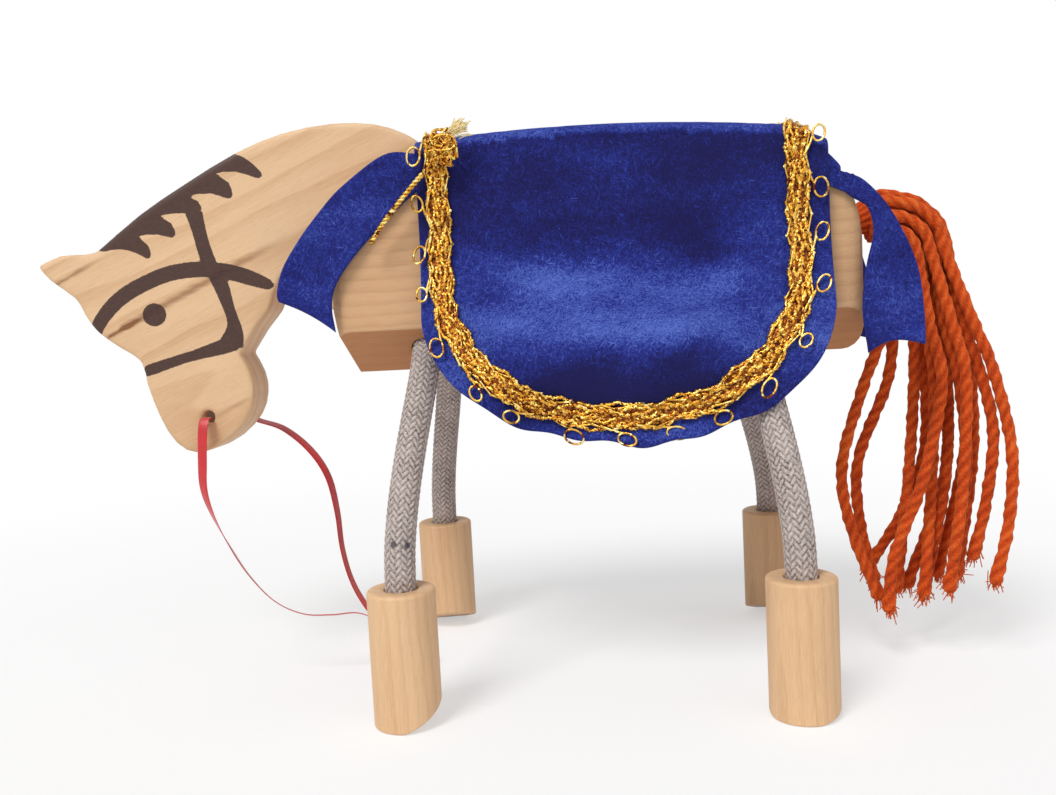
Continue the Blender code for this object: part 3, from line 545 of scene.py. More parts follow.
@dataclass(frozen=True)
class Wood:
    """Sanded pale softwood: growth rings round a far pith, fine fibres and a broad drift of tone."""

    name: str
    pale: Colour = srgb(224, 188, 148)
    dark: Colour = srgb(192, 146, 104)
    along: Along = Along.X
    spacing: float = 3.4
    pith: tuple[float, float] = (46.0, 20.0)
    centre_x: float = 0.0
    lean: float = 0.0
    streaks: tuple[Streak, ...] = ()
    painted: bool = False
    paint: Colour = srgb(48, 24, 23)
    paint_worn: Colour = srgb(78, 45, 38)
    rim_from: float = 5.2
    painted_underside_shade: Colour | None = None
    ring_weight: float = 0.34

    def _waves(self, along: float, across: float) -> Triple:
        """Noise waves per millimetre, fewer along the grain."""
        return (along, across, across) if self.along is Along.X else (across, across, along)

    def _late_wood(self, shader: Shader) -> Wire:
        """Dark late wood of each growth ring: the last part of the distance from the pith over the spacing.

        Args:
            shader: the material under construction.

        Returns:
            0 in pale early wood to 1 in late wood.
        """
        x, y, z = shader.axes(shader.place(turn=(0.0, self.lean, 0.0)))
        sway = shader.noise(self._waves(0.014, 0.05), detail=2.0, turn=(0.0, self.lean, 0.0))
        first, second, run = (y, z, x) if self.along is Along.X else (x, y, z)
        across = first + self.pith[0]
        up = second + self.pith[1]
        distance = (across * across + up * up).math("SQRT") + sway * (2.2 * self.spacing) + run * 0.035
        share = (distance / self.spacing).math("FRACT")
        return share.between(0.35, 0.9) * (1.0 - share.between(0.92, 1.0))

    def _streak_mask(self, shader: Shader) -> Wire | float:
        """How much of the streaks shows at a point.

        Args:
            shader: the material under construction.

        Returns:
            0 off the streaks to their strength on them.
        """
        mask: Wire | float = 0.0
        x, _, z = shader.axes(shader.place())
        ragged = shader.noise((0.12, 0.6, 0.9), detail=3.0)
        for streak in self.streaks:
            run = x - (self.centre_x + streak.x)
            off = (z - streak.z - run * streak.slope).math("ABSOLUTE") + (ragged - 0.5) * streak.width
            line = 1.0 - off.between(0.0, streak.width)
            span = run.between(-streak.before, 2.0 - streak.before) * (1.0 - run.between(0.4 * streak.after,
                                                                                         streak.after))
            mask = line * span * streak.strength + mask
        return mask

    def material(self) -> Finish:
        """Build the wood, with paint over it where the piece's paint distance is below zero.

        Returns:
            The finish.
        """
        shader = Shader(self.name)
        late = self._late_wood(shader)
        turn = (0.0, self.lean, 0.0)
        fibre = shader.noise(self._waves(0.22, 5.0), detail=4.0, turn=turn)
        drift = shader.noise(self._waves(0.012, 0.07), detail=2.0, turn=turn)
        tone = late * self.ring_weight + (fibre - 0.5) * 0.9 + (drift - 0.5) * 1.1 + 0.12
        colour = shader.mix(tone, self.pale, self.dark)
        flecks = shader.noise(self._waves(0.5, 7.0), detail=1.0, turn=turn).between(0.68, 0.74)
        colour = shader.mix(flecks * 0.28, colour, srgb(150, 100, 58))
        if self.streaks:
            colour = shader.mix(self._streak_mask(shader), colour, srgb(132, 84, 48))
        roughness = fibre * 0.16 + 0.46
        relief = fibre * 0.6 + late * 0.4
        # Painted shade: faces that point down, the chamfers and underside, are darkened towards a warm brown.
        if self.painted_underside_shade:
            down = shader.axes(shader.node("ShaderNodeNewGeometry", output="Normal"))[2]
            colour = shader.mix((1.0 - down.between(-0.75, -0.35)) * (fibre * 0.4 + 0.5), colour, self.painted_underside_shade)
        if not self.painted:
            return shader.dress(Base_Color=colour, Roughness=roughness, Normal=shader.bump(relief, 0.06, 0.5),
                                Specular_IOR_Level=0.4)
        edge = shader.attribute("paint_distance") + (shader.noise((1.6, 1.6, 1.6), detail=2.0) - 0.5) * 0.35
        mask = 1.0 - edge.between(-0.1, 0.12)
        _, y, _ = shader.axes(shader.place())
        mask = mask * y.math("ABSOLUTE").between(self.rim_from - 0.7, self.rim_from + 0.5)
        brushed = shader.noise((0.9, 2.2, 2.2), detail=3.0).between(0.35, 0.75)
        paint = shader.mix(brushed * 0.55 + fibre * 0.2, self.paint, self.paint_worn)
        colour = shader.mix(mask * 0.97, colour, paint)
        roughness = roughness + mask * -0.12
        relief = relief * (1.0 - mask * 0.6) + mask * 0.9
        return shader.dress(Base_Color=colour, Roughness=roughness, Normal=shader.bump(relief, 0.06, 0.6),
                            Specular_IOR_Level=0.4)


@dataclass(frozen=True)
class Felt:
    """Pressed wool felt: matted short fibres that lie in all directions and catch light as pale flecks."""

    name: str = "blue_felt"
    deep: Colour = srgb(28, 26, 78)
    middle: Colour = srgb(38, 48, 134)
    pale: Colour = srgb(86, 108, 190)

    def material(self) -> Finish:
        """Build the felt.

        Returns:
            The finish.
        """
        shader = Shader(self.name)
        mats = [shader.noise((0.6, 3.0, 3.0), detail=2.0, turn=turn, distortion=0.8)
                for turn in ((0, 12, 0), (20, 62, 15), (10, -48, 20), (-15, 105, 10))]
        matted = mats[0].math("MAXIMUM", mats[1]).math("MAXIMUM", mats[2]).math("MAXIMUM", mats[3])
        cloud = shader.noise((0.055, 0.11, 0.11), detail=4.0)
        nap = shader.attribute("nap")
        # Painted light and shade: lighter where the cloth faces up and on its top, darker where it faces down; the
        # rest is fibre and cloud noise.
        level = (matted - 0.6) * 2.6 + (cloud - 0.5) * 0.9 + nap * 0.42 + 0.33
        colour = shader.ramp(level, [(0.0, self.deep), (0.42, self.middle), (0.95, self.pale)])
        grain = shader.noise((3.2, 3.2, 3.2), detail=3.0)
        return shader.dress(Base_Color=colour, Roughness=0.95, Normal=shader.bump(matted + grain * 0.5, 0.22, 0.9),
                            Specular_IOR_Level=0.12, Sheen_Weight=0.22, Sheen_Roughness=0.55,
                            Sheen_Tint=srgb(120, 140, 230))


@dataclass(frozen=True)
class PlaitedRope:
    """White-grey plaited rope, with painted shade where the strands dip under each other, painted light on their
    crowns, and fine filaments.
    """

    name: str = "rope"
    crown: Colour = srgb(212, 200, 194)
    body: Colour = srgb(172, 158, 152)
    gap: Colour = srgb(88, 74, 68)
    ink: Colour = srgb(48, 46, 56)

    def material(self) -> Finish:
        """Build the rope.

        Returns:
            The finish.
        """
        shader = Shader(self.name)
        hollow = shader.attribute("hollow")
        filament = shader.attribute("filament")
        speckle = shader.noise((2.4, 2.4, 2.4), detail=3.0)
        lines = (filament * (TURN * 5)).math("SINE") * 0.5 + 0.5
        stain = shader.noise((0.22, 0.22, 0.22), detail=3.0)
        # Painted shade in the gaps between strands and painted light on their crowns; speckle and stain are noise.
        lift = (1.0 - hollow) * 0.66 + lines * 0.2 + (speckle - 0.5) * 1.5 + (stain - 0.5) * 0.6
        colour = shader.ramp(lift, [(0.05, self.gap), (0.45, self.body), (0.98, self.crown)])
        mark = shader.attribute("mark") * (speckle * 1.6 + 0.3)
        colour = shader.mix(mark.between(0.25, 0.7) * 0.85, colour, self.ink)
        return shader.dress(Base_Color=colour, Roughness=0.62, Normal=shader.bump(lines + speckle, 0.05, 0.7),
                            Specular_IOR_Level=0.35, Sheen_Weight=0.15)


@dataclass(frozen=True)
class FilmThread:
    """Crinkled metal-film thread: painted glints and painted dark reflections on random facets, beside its gold body.
    """

    name: str
    painted_glint: Colour = srgb(255, 232, 130)
    body: Colour = srgb(226, 160, 52)
    painted_dark_reflection: Colour = srgb(110, 44, 12)
    fineness: float = 1.9

    def material(self) -> Finish:
        """Build the thread.

        Returns:
            The finish.
        """
        shader = Shader(self.name)
        waves = (self.fineness,) * 3
        facet = shader.node("ShaderNodeTexVoronoi", {"feature": "F1"},
                            {"Vector": shader.place(waves), "Scale": 1.0, "Randomness": 1.0}, output="Color")
        red, _, _ = shader.axes(facet)
        shade = red * 0.85 + (shader.noise(waves, detail=3.0) - 0.5) * 0.5
        # The ramp paints dark reflections and glints on random facets.
        colour = shader.ramp(shade, [(0.06, self.painted_dark_reflection), (0.34, self.body), (0.56, self.body), (0.8, self.painted_glint)])
        return shader.dress(Base_Color=colour, Metallic=0.82, Roughness=red * 0.22 + 0.2,
                            Normal=shader.bump(shade, 0.35, 0.9))


@dataclass(frozen=True)
class Yarn:
    """Soft twisted yarn, with painted shade between its plies, painted light on the ply crowns, and lighter fuzz."""

    name: str = "tail_yarn"
    groove: Colour = srgb(138, 38, 12)
    body: Colour = srgb(204, 76, 24)
    fuzz_and_highlight: Colour = srgb(238, 128, 58)

    def material(self) -> Finish:
        """Build the yarn.

        Returns:
            The finish.
        """
        shader = Shader(self.name)
        hollow = shader.attribute("hollow")
        fibre = shader.noise((1.1, 4.6, 4.6), detail=3.0, turn=(0, 55, 0))
        cloud = shader.noise((0.1, 0.1, 0.1), detail=3.0)
        # Painted shade between the plies and painted light on the ply crowns, with fibre and cloud noise.
        level = (1.0 - hollow) * 0.3 + (fibre - 0.5) * 1.1 + (cloud - 0.5) * 0.7 + 0.26
        colour = shader.ramp(level, [(0.05, self.groove), (0.5, self.body), (1.0, self.fuzz_and_highlight)])
        return shader.dress(Base_Color=colour, Roughness=0.9, Normal=shader.bump(fibre, 0.16, 0.8),
                            Specular_IOR_Level=0.15, Sheen_Weight=0.35, Sheen_Roughness=0.5,
                            Sheen_Tint=srgb(255, 170, 100))


@dataclass(frozen=True)
class SatinRibbon:
    """Narrow red satin: a fine rib across the ribbon and a soft shine."""

    name: str = "red_ribbon"
    body: Colour = srgb(206, 26, 34)
    shadow: Colour = srgb(150, 12, 22)

    def material(self) -> Finish:
        """Build the ribbon.

        Returns:
            The finish.
        """
        shader = Shader(self.name)
        along = shader.attribute("along")
        rib = (along * (TURN * 2.4)).math("SINE") * 0.5 + 0.5
        drift = shader.noise((0.3, 0.3, 0.3), detail=2.0)
        colour = shader.mix(rib * 0.25 + (drift - 0.4) * 0.9, self.body, self.shadow)
        return shader.dress(Base_Color=colour, Roughness=drift * 0.16 + 0.3,
                            Normal=shader.bump(rib, 0.03, 0.6), Sheen_Weight=0.25, Specular_IOR_Level=0.55)


@dataclass(frozen=True)
class CutFibre:
    """The pale cut core of the gold thread."""

    name: str = "cut_core"

    def material(self) -> Finish:
        """Build the fibre.

        Returns:
            The finish.
        """
        shader = Shader(self.name)
        speck = shader.noise((2.0, 2.0, 2.0), detail=2.0)
        colour = shader.mix(speck, srgb(255, 244, 200), srgb(240, 208, 128))
        return shader.dress(Base_Color=colour, Roughness=0.7, Normal=shader.bump(speck, 0.05, 0.5))


@dataclass(frozen=True)
class Backdrop:
    """Plain pale floor."""

    name: str = "pale_floor"
    near: float = 150.0
    far: float = 420.0
    share: float = 0.5

    def material(self) -> Finish:
        """Build the floor: matt near white, which the camera and reflections see go over to full white far off.

        Returns:
            The finish.
        """
        shader = Shader(self.name)
        cloud = shader.noise((0.004, 0.004, 0.004), detail=2.0)
        colour = shader.mix(cloud, (0.93, 0.93, 0.93), (0.95, 0.95, 0.95))
        material = shader.dress(Base_Color=colour, Roughness=0.9, Specular_IOR_Level=0.0)
        x, y, _ = shader.axes(shader.place())
        away = (x * x + y * y).math("SQRT").between(self.near, self.far)
        share = shader.seen() * (away * (1 - self.share) + self.share)
        white = shader.node("ShaderNodeEmission", None, {"Color": WHITE, "Strength": 1.0})
        matt = Wire(shader, shader.surface.outputs[0])
        both = shader.node("ShaderNodeMixShader", None, {0: share, 1: matt, 2: white})
        shader.tree.links.new(both.socket, shader.output.inputs["Surface"])
        return material


# ---------------- pieces


@dataclass(frozen=True)
class Body:
    """The body block's sizes, which everything else is set out from."""

    centre_x: float
    half_length: float
    half_width: float
    floor: float
    crown: float
    crown_x: float = -4.0
    crown_fall: float = 0.00118
    shoulder: float = 20.0
    rump: float = 23.0
    curve_foot: float = 104.0

    @classmethod
    def from_frame(cls) -> Body:
        """Read the block's box from the frame."""
        low, high = (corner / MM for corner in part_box("torso_block"))
        return cls((low.x + high.x) / 2, (high.x - low.x) / 2, high.y, low.z, high.z)

    def back(self, x: Array) -> Array:
        """Height of the back: the crown less a square fall, with a quarter ellipse down at each end.

        Args:
            x: distance along the horse.

        Returns:
            The heights.
        """
        front, rear = self.shoulder - self.half_length, self.half_length - self.rump
        share = np.clip(np.maximum((front - x) / self.shoulder, (x - rear) / self.rump), 0.0, 1.0)
        top = self.crown - self.crown_fall * (np.clip(x, front, rear) - self.crown_x) ** 2
        return self.curve_foot + (top - self.curve_foot) * np.sqrt(1 - share * share)

    def place(self, points: Array) -> Array:
        """Points of the horse's own coordinates in the shared frame, in metres."""
        return (np.asarray(points, float) + np.array([self.centre_x, 0.0, 0.0])) * MM

    def local(self, point: list[float] | Vector) -> Array:
        """A point of the shared frame in the horse's own coordinates, in millimetres."""
        return np.array(point, float) / MM - np.array([self.centre_x, 0.0, 0.0])

    def joint(self, joints: list[dict], name: str) -> Array:
        """The named joint's place in the horse's own coordinates."""
        return self.local(next(joint for joint in joints if joint["name"] == name)["pos_m"])

    def box(self, node: str) -> tuple[Array, Array]:
        """The low and high corners of a node's box in the horse's own coordinates."""
        low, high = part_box(node)
        return self.local(low), self.local(high)


def linked(name: str, data: bpy.types.ID) -> Piece:
    """Make an object for the data and put it in the scene.

    Args:
        name: the object's name.
        data: its mesh, lamp or camera.

    Returns:
        The object.
    """
    made = bpy.data.objects.new(name, data)
    bpy.context.scene.collection.objects.link(made)
    return made


@dataclass
class Maker:
    """Turns arrays of points into pieces that ride on the horse."""

    body: Body

    def piece(self, name: str, points: Array, faces: list[Array] | list, material: Finish,
              numbers: dict[str, Array] | None = None, turn_out: bool = False) -> Piece:
        """Make one mesh piece.

        Args:
            name: its name.
            points: its points in the horse's coordinates.
            faces: corner indices of its faces.
            material: its finish.
            numbers: values to store on its points, by name.
            turn_out: whether to work out its face directions again.

        Returns:
            The object, at the origin with its place in its mesh.
        """
        mesh = bpy.data.meshes.new(name)
        lists = [corner for block in faces for corner in np.asarray(block).tolist()]
        mesh.from_pydata(self.body.place(points).tolist(), [], lists)
        for key, values in (numbers or {}).items():
            mesh.attributes.new(key, "FLOAT", "POINT").data.foreach_set("value", values.astype(np.float32).ravel())
        if turn_out:
            work = bmesh.new()
            work.from_mesh(mesh)
            bmesh.ops.recalc_face_normals(work, faces=work.faces)
            work.to_mesh(mesh)
            work.free()
        mesh.shade_smooth()
        mesh.materials.append(material)
        made = linked(name, mesh)
        log.info("%s: %d faces", name, len(mesh.polygons))
        return made

    def tubes(self, name: str, rings: Array, material: Finish,
              numbers: dict[str, Array] | None = None, closed: bool = False) -> Piece:
        """Make tubes from rings of points, counted (tube, station, side, xyz), capped or closed on themselves.

        Args:
            name: the piece's name.
            rings: the points.
            material: its finish.
            numbers: values to store on its points, by name.
            closed: whether each tube's last ring joins its first.

        Returns:
            The tubes, as one piece.
        """
        count, stations, sides, _ = rings.shape
        quads = grid_quads(stations, sides, wrap_rows=closed, wrap_columns=True)
        starts = (np.arange(count) * stations * sides)[:, None, None]
        faces = [(quads[None] + starts).reshape(-1, 4)]
        if not closed:
            ring = np.arange(sides)[None, :]
            faces.append(starts[:, 0] + ring[:, ::-1])
            faces.append(starts[:, 0] + (stations - 1) * sides + ring)
        return self.piece(name, rings.reshape(-1, 3), faces, material, numbers)

    def sheet(self, name: str, middle: Array, normals: Array, half: Array, material: Finish,
              nap: Array | None = None) -> Piece:
        """Make a closed sheet, both faces of which meet where half its thickness is 0.

        Args:
            name: its name.
            middle: grid of points of its middle surface.
            normals: the surface's unit normals.
            half: half its thickness at each point.
            material: its finish.
            nap: painted light and shade at each point, from -1 for darker to 1 for lighter.

        Returns:
            The sheet.
        """
        rows, columns = half.shape
        both = np.concatenate([(middle + normals * half[..., None]).reshape(-1, 3),
                               (middle - normals * half[..., None]).reshape(-1, 3)])
        number = np.arange(rows * columns)
        rim = np.zeros((rows, columns), bool)
        rim[[0, -1], :] = True
        rim[:, [0, -1]] = True
        under = np.where(rim.ravel(), number, number + rows * columns)
        quads = grid_quads(rows, columns)
        used, faces = np.unique(np.concatenate([quads, under[quads][:, ::-1]]), return_inverse=True)
        nap = np.zeros(rows * columns) if nap is None else nap.ravel()
        return self.piece(name, both[used], [faces.reshape(-1, 4)], material, {"nap": np.tile(nap, 2)[used]},
                          turn_out=True)


def rounded_half(distance: Array, half: float) -> Array:
    """Half thickness near a rounded rim: a quarter circle over the last half thickness before the edge."""
    share = np.clip(distance / half, 0.0, 1.0)
    return half * np.sqrt(1 - (1 - share) ** 2)


def rim_samples(low: float, high: float, count: int, half: float) -> Array:
    """Even samples with extra ones close to both ends, where the rim rounds over."""
    near = half * np.array([0.0, 0.06, 0.25, 0.55, 1.0])
    return np.concatenate([low + near[:-1], np.linspace(low + half, high - half, count), high - near[:-1][::-1]])


@dataclass
class WoodenBody:
    """The body block, the painted head board in its slot and the dowel that pins it."""

    maker: Maker
    nodes: dict[str, Piece]
    edge: float = 0.55
    sharp: float = 32.0
    weld: float = 0.004
    flat: float = 0.4
    voxel: float = 0.62
    eye: tuple[float, float] = (-115.4, 98.8)
    eye_radius: float = 3.2
    eye_height: float = 0.94

    def _merged_mesh(self, node: str, name: str) -> bpy.types.Mesh:
        """The CAD node's triangles joined up, with flat faces made whole.

        Args:
            node: the node's name.
            name: name of the new mesh.

        Returns:
            The mesh.
        """
        work = bmesh.new()
        work.from_mesh(self.nodes[node].data)
        bmesh.ops.remove_doubles(work, verts=work.verts, dist=self.weld * MM)
        bmesh.ops.dissolve_limit(work, angle_limit=math.radians(self.flat), verts=work.verts, edges=work.edges)
        mesh = bpy.data.meshes.new(name)
        work.to_mesh(mesh)
        work.free()
        return mesh

    @staticmethod
    def mane() -> Array:
        """Outline of the painted mane: a band under the crest with seven locks that run down and back.

        Returns:
            Its corners, one (x, z) pair per row.
        """
        crest = [(-129.9, 116.4), (-117.5, 125.6), (-104.0, 133.4), (-95.0, 138.6), (-90.6, 139.0), (-87.0, 137.0),
                 (-84.4, 134.4)]
        locks = [(-83.9, 133.0), (-85.0, 132.4), (-90.4, 134.4), (-95.9, 134.3), (-92.8, 131.8), (-92.0, 128.4),
                 (-93.6, 127.8), (-97.6, 129.3), (-103.6, 129.1), (-101.3, 127.5), (-100.6, 124.9),
                 (-105.1, 124.7), (-111.8, 124.5), (-108.9, 122.3), (-108.0, 119.4), (-109.2, 118.6),
                 (-112.8, 119.6), (-117.9, 119.5), (-115.6, 116.9), (-115.0, 114.3), (-116.1, 113.5),
                 (-119.3, 115.3), (-123.4, 116.4), (-127.6, 116.0)]
        return np.array(crest + locks)

    @staticmethod
    def straps() -> list[Array]:
        """Outlines of the painted bridle: cheek strap, noseband and browband, each from two edges.

        Returns:
            One outline for each strap.
        """
        cheek_front = [(-105.1, 125.0), (-103.5, 119.7), (-101.8, 112.2), (-98.5, 104.1), (-95.9, 95.9),
                       (-98.2, 91.4)]
        cheek_back = [(-92.3, 88.8), (-91.9, 93.2), (-93.7, 99.8), (-95.0, 106.4), (-97.5, 111.5), (-99.3, 117.5),
                      (-100.4, 125.0)]
        nose = [(-94.0, 91.4), (-98.5, 91.2), (-106.0, 88.9), (-116.8, 86.2), (-119.2, 85.2), (-119.6, 83.6),
                (-118.3, 82.7), (-107.2, 85.9), (-93.9, 88.4)]
        brow_upper = [(-134.0, 95.6), (-129.4, 101.7), (-124.3, 105.9), (-117.2, 109.3), (-110.3, 111.4),
                      (-102.0, 112.0), (-93.9, 110.8), (-87.9, 108.7), (-83.6, 106.3)]
        brow_lower = [(-82.5, 104.8), (-84.4, 103.8), (-89.2, 105.1), (-95.0, 106.9), (-101.3, 107.9), (-108.6, 107.6),
                      (-115.5, 105.7), (-122.5, 102.3), (-127.6, 98.0), (-131.4, 92.8)]
        return [np.vstack([smooth_through(cheek_front, 4), smooth_through(cheek_back, 4)]),
                smooth_through([*nose, nose[0]], 3)[:-1],
                np.vstack([smooth_through(brow_upper, 4), smooth_through(brow_lower, 4)])]

    def paint_distance(self, points: Array) -> Array:
        """Signed distance to the nearest painted mark in the side view, negative on it, the same on both faces.

        Args:
            points: points in the horse's coordinates.

        Returns:
            One distance for each point.
        """
        flat = points[:, [0, 2]]
        marks = [polygon_distance(flat, outline) for outline in (smooth_through(self.mane(), 2), *self.straps())]
        off = (flat - np.array(self.eye)) * np.array([1.0, 1.0 / self.eye_height])
        marks.append(np.linalg.norm(off, axis=1) - self.eye_radius)
        return np.min(marks, axis=0)

    def build_block(self) -> Piece:
        """The body block with its edges eased by hand.

        Returns:
            The block.
        """
        mesh = self._merged_mesh("torso_block", "body_block")
        mesh.shade_smooth()
        mesh.set_sharp_from_angle(angle=math.radians(self.sharp))
        # The block's wood has painted shade on its downward faces.
        mesh.materials.append(Wood("block_wood", pith=(30.0, -150.0), spacing=2.9,
                                   pale=srgb(206, 164, 122), dark=srgb(168, 122, 84),
                                   painted_underside_shade=srgb(176, 108, 58), ring_weight=0.22).material())
        block = linked("body_block", mesh)
        bevel = block.modifiers.new("eased_edges", "BEVEL")
        bevel.width = self.edge * MM
        bevel.segments = 2
        bevel.limit_method = "ANGLE"
        bevel.angle_limit = math.radians(self.sharp)
        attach(block, "torso")
        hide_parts("torso_block")
        log.info("body_block: %d faces", len(mesh.polygons))
        return block

    def build_head(self) -> Piece:
        """The head board, made again from small even faces that carry the distance to its painted marks.

        Returns:
            The board.
        """
        shell = linked("head_shell", self._merged_mesh("head_neck", "head_shell"))
        remesh = shell.modifiers.new("even_faces", "REMESH")
        remesh.mode = "VOXEL"
        remesh.voxel_size = self.voxel * MM
        remesh.use_smooth_shade = True
        relax = shell.modifiers.new("relaxed", "SMOOTH")
        relax.factor = 0.5
        relax.iterations = 3
        bpy.context.view_layer.update()
        done = bpy.data.meshes.new_from_object(shell.evaluated_get(bpy.context.evaluated_depsgraph_get()))
        bpy.data.objects.remove(shell)
        done.name = "head_board"
        head = linked("head_board", done)
        points = np.zeros(len(done.vertices) * 3, np.float32)
        done.vertices.foreach_get("co", points)
        points = self.maker.body.local(points.reshape(-1, 3))
        done.attributes.new("paint_distance", "FLOAT", "POINT").data.foreach_set(
            "value", self.paint_distance(points).astype(np.float32))
        streaks = (Streak(-128.8, 93.4, 0.46, 1.0, 1.0, 12.0, 1.0), Streak(-113.0, 101.0, 0.46, 1.7, 13.0, 40.0, 0.7),
                   Streak(-142.0, 107.8, 0.48, 1.0, 1.5, 14.0, 0.7), Streak(-100.0, 71.5, 0.5, 1.2, 2.0, 12.0, 0.25))
        done.materials.clear()
        done.materials.append(Wood("head_wood", pith=(52.0, -95.0), spacing=4.6, lean=-24.0, streaks=streaks,
                                   painted=True, centre_x=self.maker.body.centre_x).material())
        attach(head, "torso")
        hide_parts("head_neck")
        log.info("head_board: %d faces", len(done.polygons))
        return head

    def build(self) -> None:
        """Build the wooden pieces of the body."""
        self.build_block()
        self.build_head()
        dowel = self.nodes["neck_dowel"]
        dowel.data.materials.clear()
        dowel.data.materials.append(Wood("pin_wood", pith=(20.0, 12.0)).material())


@dataclass(frozen=True)
class Sole:
    """How a hoof's lower end is cut: its slope, and how far its low point turns from straight out, in degrees."""

    slope: float
    turn: float


@dataclass
class RopeLegs:
    """Plaited rope legs in bored dowel hooves."""

    maker: Maker
    joints: list[dict]
    rope_radius: float = 3.6
    bore_depth: float = 11.7
    carriers: int = 16
    cell: float = 1.65
    relief: float = 0.32
    reach: float = 0.36
    outset: float = 0.65
    splay: float = 0.10
    rake: float = 0.004
    stations: int = 421
    blend_stations: int = 32
    sides: int = 112
    mark_height: float = 42.6
    mark_radius: float = 0.85
    hoof_radius: float = 8.0
    hoof_height: float = 32.0
    sole_width: float = 2.2
    soles: dict[Leg, Sole] = field(default_factory=lambda: {
        Leg.FRONT_LEFT: Sole(25.0, -38.0), Leg.FRONT_RIGHT: Sole(20.0, -10.0),
        Leg.REAR_LEFT: Sole(13.0, -25.0), Leg.REAR_RIGHT: Sole(20.0, 10.0)})

    def centre_line(self, leg: Leg) -> Array:
        """The rope's centre line: out of the body's chamfer at 45 degrees, a cubic bend, straight into the hoof.

        Args:
            leg: which leg.

        Returns:
            Its points at even distances, from the end in the body to the end in the hoof.
        """
        hip, ankle = (self.maker.body.joint(self.joints, f"{place}_{leg.value}") for place in ("hip", "ankle"))
        side = leg.side.value
        outward = unit(np.array([0.0, side, -1.0]))
        reach = np.linalg.norm(ankle - hip) * self.reach
        lean = unit(np.array([(ankle[0] - hip[0]) * self.rake, side * self.splay, -1.0]))
        first, second = hip + outward * reach * self.outset, ankle - lean * reach
        t = np.linspace(0.0, 1.0, 24)[:, None]
        bend = (hip * (1 - t) ** 3 + first * 3 * t * (1 - t) ** 2 + second * 3 * t * t * (1 - t) + ankle * t ** 3)
        inside = hip - outward * np.array([[self.rope_radius + GAP + self.bore_depth], [6.0], [2.5]])
        below = ankle - np.array([[0.0, 0.0, 2.5], [0.0, 0.0, 8.0], [0.0, 0.0, self.rope_radius + self.bore_depth]])
        return evenly(smooth_through(np.vstack([inside, bend[::3], below]), 8), self.stations)

    def plait(self, angle: Array, along: Array) -> tuple[Array, Array]:
        """Relief of a two-over-two plait.

        Two families of strands climb round the rope in opposite senses. Their numbers at a point are the angle in
        strands plus and minus the distance in cells; one is on top where the whole numbers' sum is 0 or 1 of 4.

        Args:
            angle: angle round the rope.
            along: distance along it.

        Returns:
            Height, 0 in the gaps to 1 on a strand's crown, and the share of the way across the strand on top.
        """
        first = self.carriers * angle / TURN + along / self.cell
        second = self.carriers * angle / TURN - along / self.cell
        phase = (np.floor(first) + np.floor(second)) % 4
        over = phase < 2
        across = np.where(over, first, second) % 1
        run = np.where(over, (phase + second % 1) / 2, (phase - 2 + first % 1) / 2)
        height = np.sin(math.pi * across) ** 0.7 * (0.45 + 0.55 * np.sin(math.pi * run) ** 0.6)
        return height, across

    def rope_half(self, leg: Leg, upper: bool, material: Finish) -> Piece:
        """Half of a leg's rope, from the body to its middle or from its middle into the hoof.

        Args:
            leg: which leg.
            upper: whether it is the half at the body.
            material: its finish.

        Returns:
            The half rope.
        """
        line = self.centre_line(leg)
        middle = len(line) // 2
        first, second = frames(line, (1.0, 0.0, 0.0))
        along = arc_lengths(line)
        part = slice(0, middle + 1) if upper else slice(middle, len(line))
        angle = ring_angles(self.sides, len(line))
        height, across = self.plait(angle, np.broadcast_to(along[:, None], angle.shape))
        radius = self.rope_radius + self.relief * (height - 0.75)
        rings = round_rings(line, first, second, radius, self.sides)[part]
        name = f"rope_{'upper' if upper else 'lower'}_{leg.value}"
        # The gap depth is stored for painting shade in the gaps.
        made = self.maker.tubes(name, rings[None], material,
                                {"hollow": (1 - height)[part], "filament": across[part],
                                 "mark": self.marks(leg, line, rings)})
        joint = self.maker.body.joint(self.joints, f"{'hip' if upper else 'ankle'}_{leg.value}")
        nearest = int(np.linalg.norm(line - joint, axis=1).argmin())
        ends = self.maker.body.place(line[[nearest - self.blend_stations, nearest + self.blend_stations]])
        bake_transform(made)
        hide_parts(f"rope_leg_{leg.value}", f"rope_{'top' if upper else 'foot'}_{leg.value}")
        return made

    def marks(self, leg: Leg, line: Array, rings: Array) -> Array:
        """How dark the near front rope is marked at each point: round spots that fade as a bell curve.

        Args:
            leg: which leg.
            line: its centre line.
            rings: its points.

        Returns:
            0 where the rope is clean, about 1 at the middle of a spot.
        """
        if leg is not Leg.FRONT_LEFT:
            return np.zeros(rings.shape[:-1])
        middle = line[int(np.abs(line[:, 2] - self.mark_height).argmin())]
        spots = middle + np.array([[-0.9, -self.rope_radius, 0.4], [2.3, -0.8 * self.rope_radius, -0.1]])
        off = np.linalg.norm(rings[..., None, :] - spots, axis=-1) / self.mark_radius
        return np.exp(-off ** 2).sum(axis=-1)

    def low_way(self, leg: Leg) -> Array:
        """Level direction from a hoof's axis to the lowest point of its oblique end.

        Args:
            leg: which leg.

        Returns:
            A unit vector (x, y).
        """
        side = leg.side.value
        angle = math.radians(self.soles[leg].turn * -side)
        return np.array([-math.sin(angle) * side, math.cos(angle) * side])

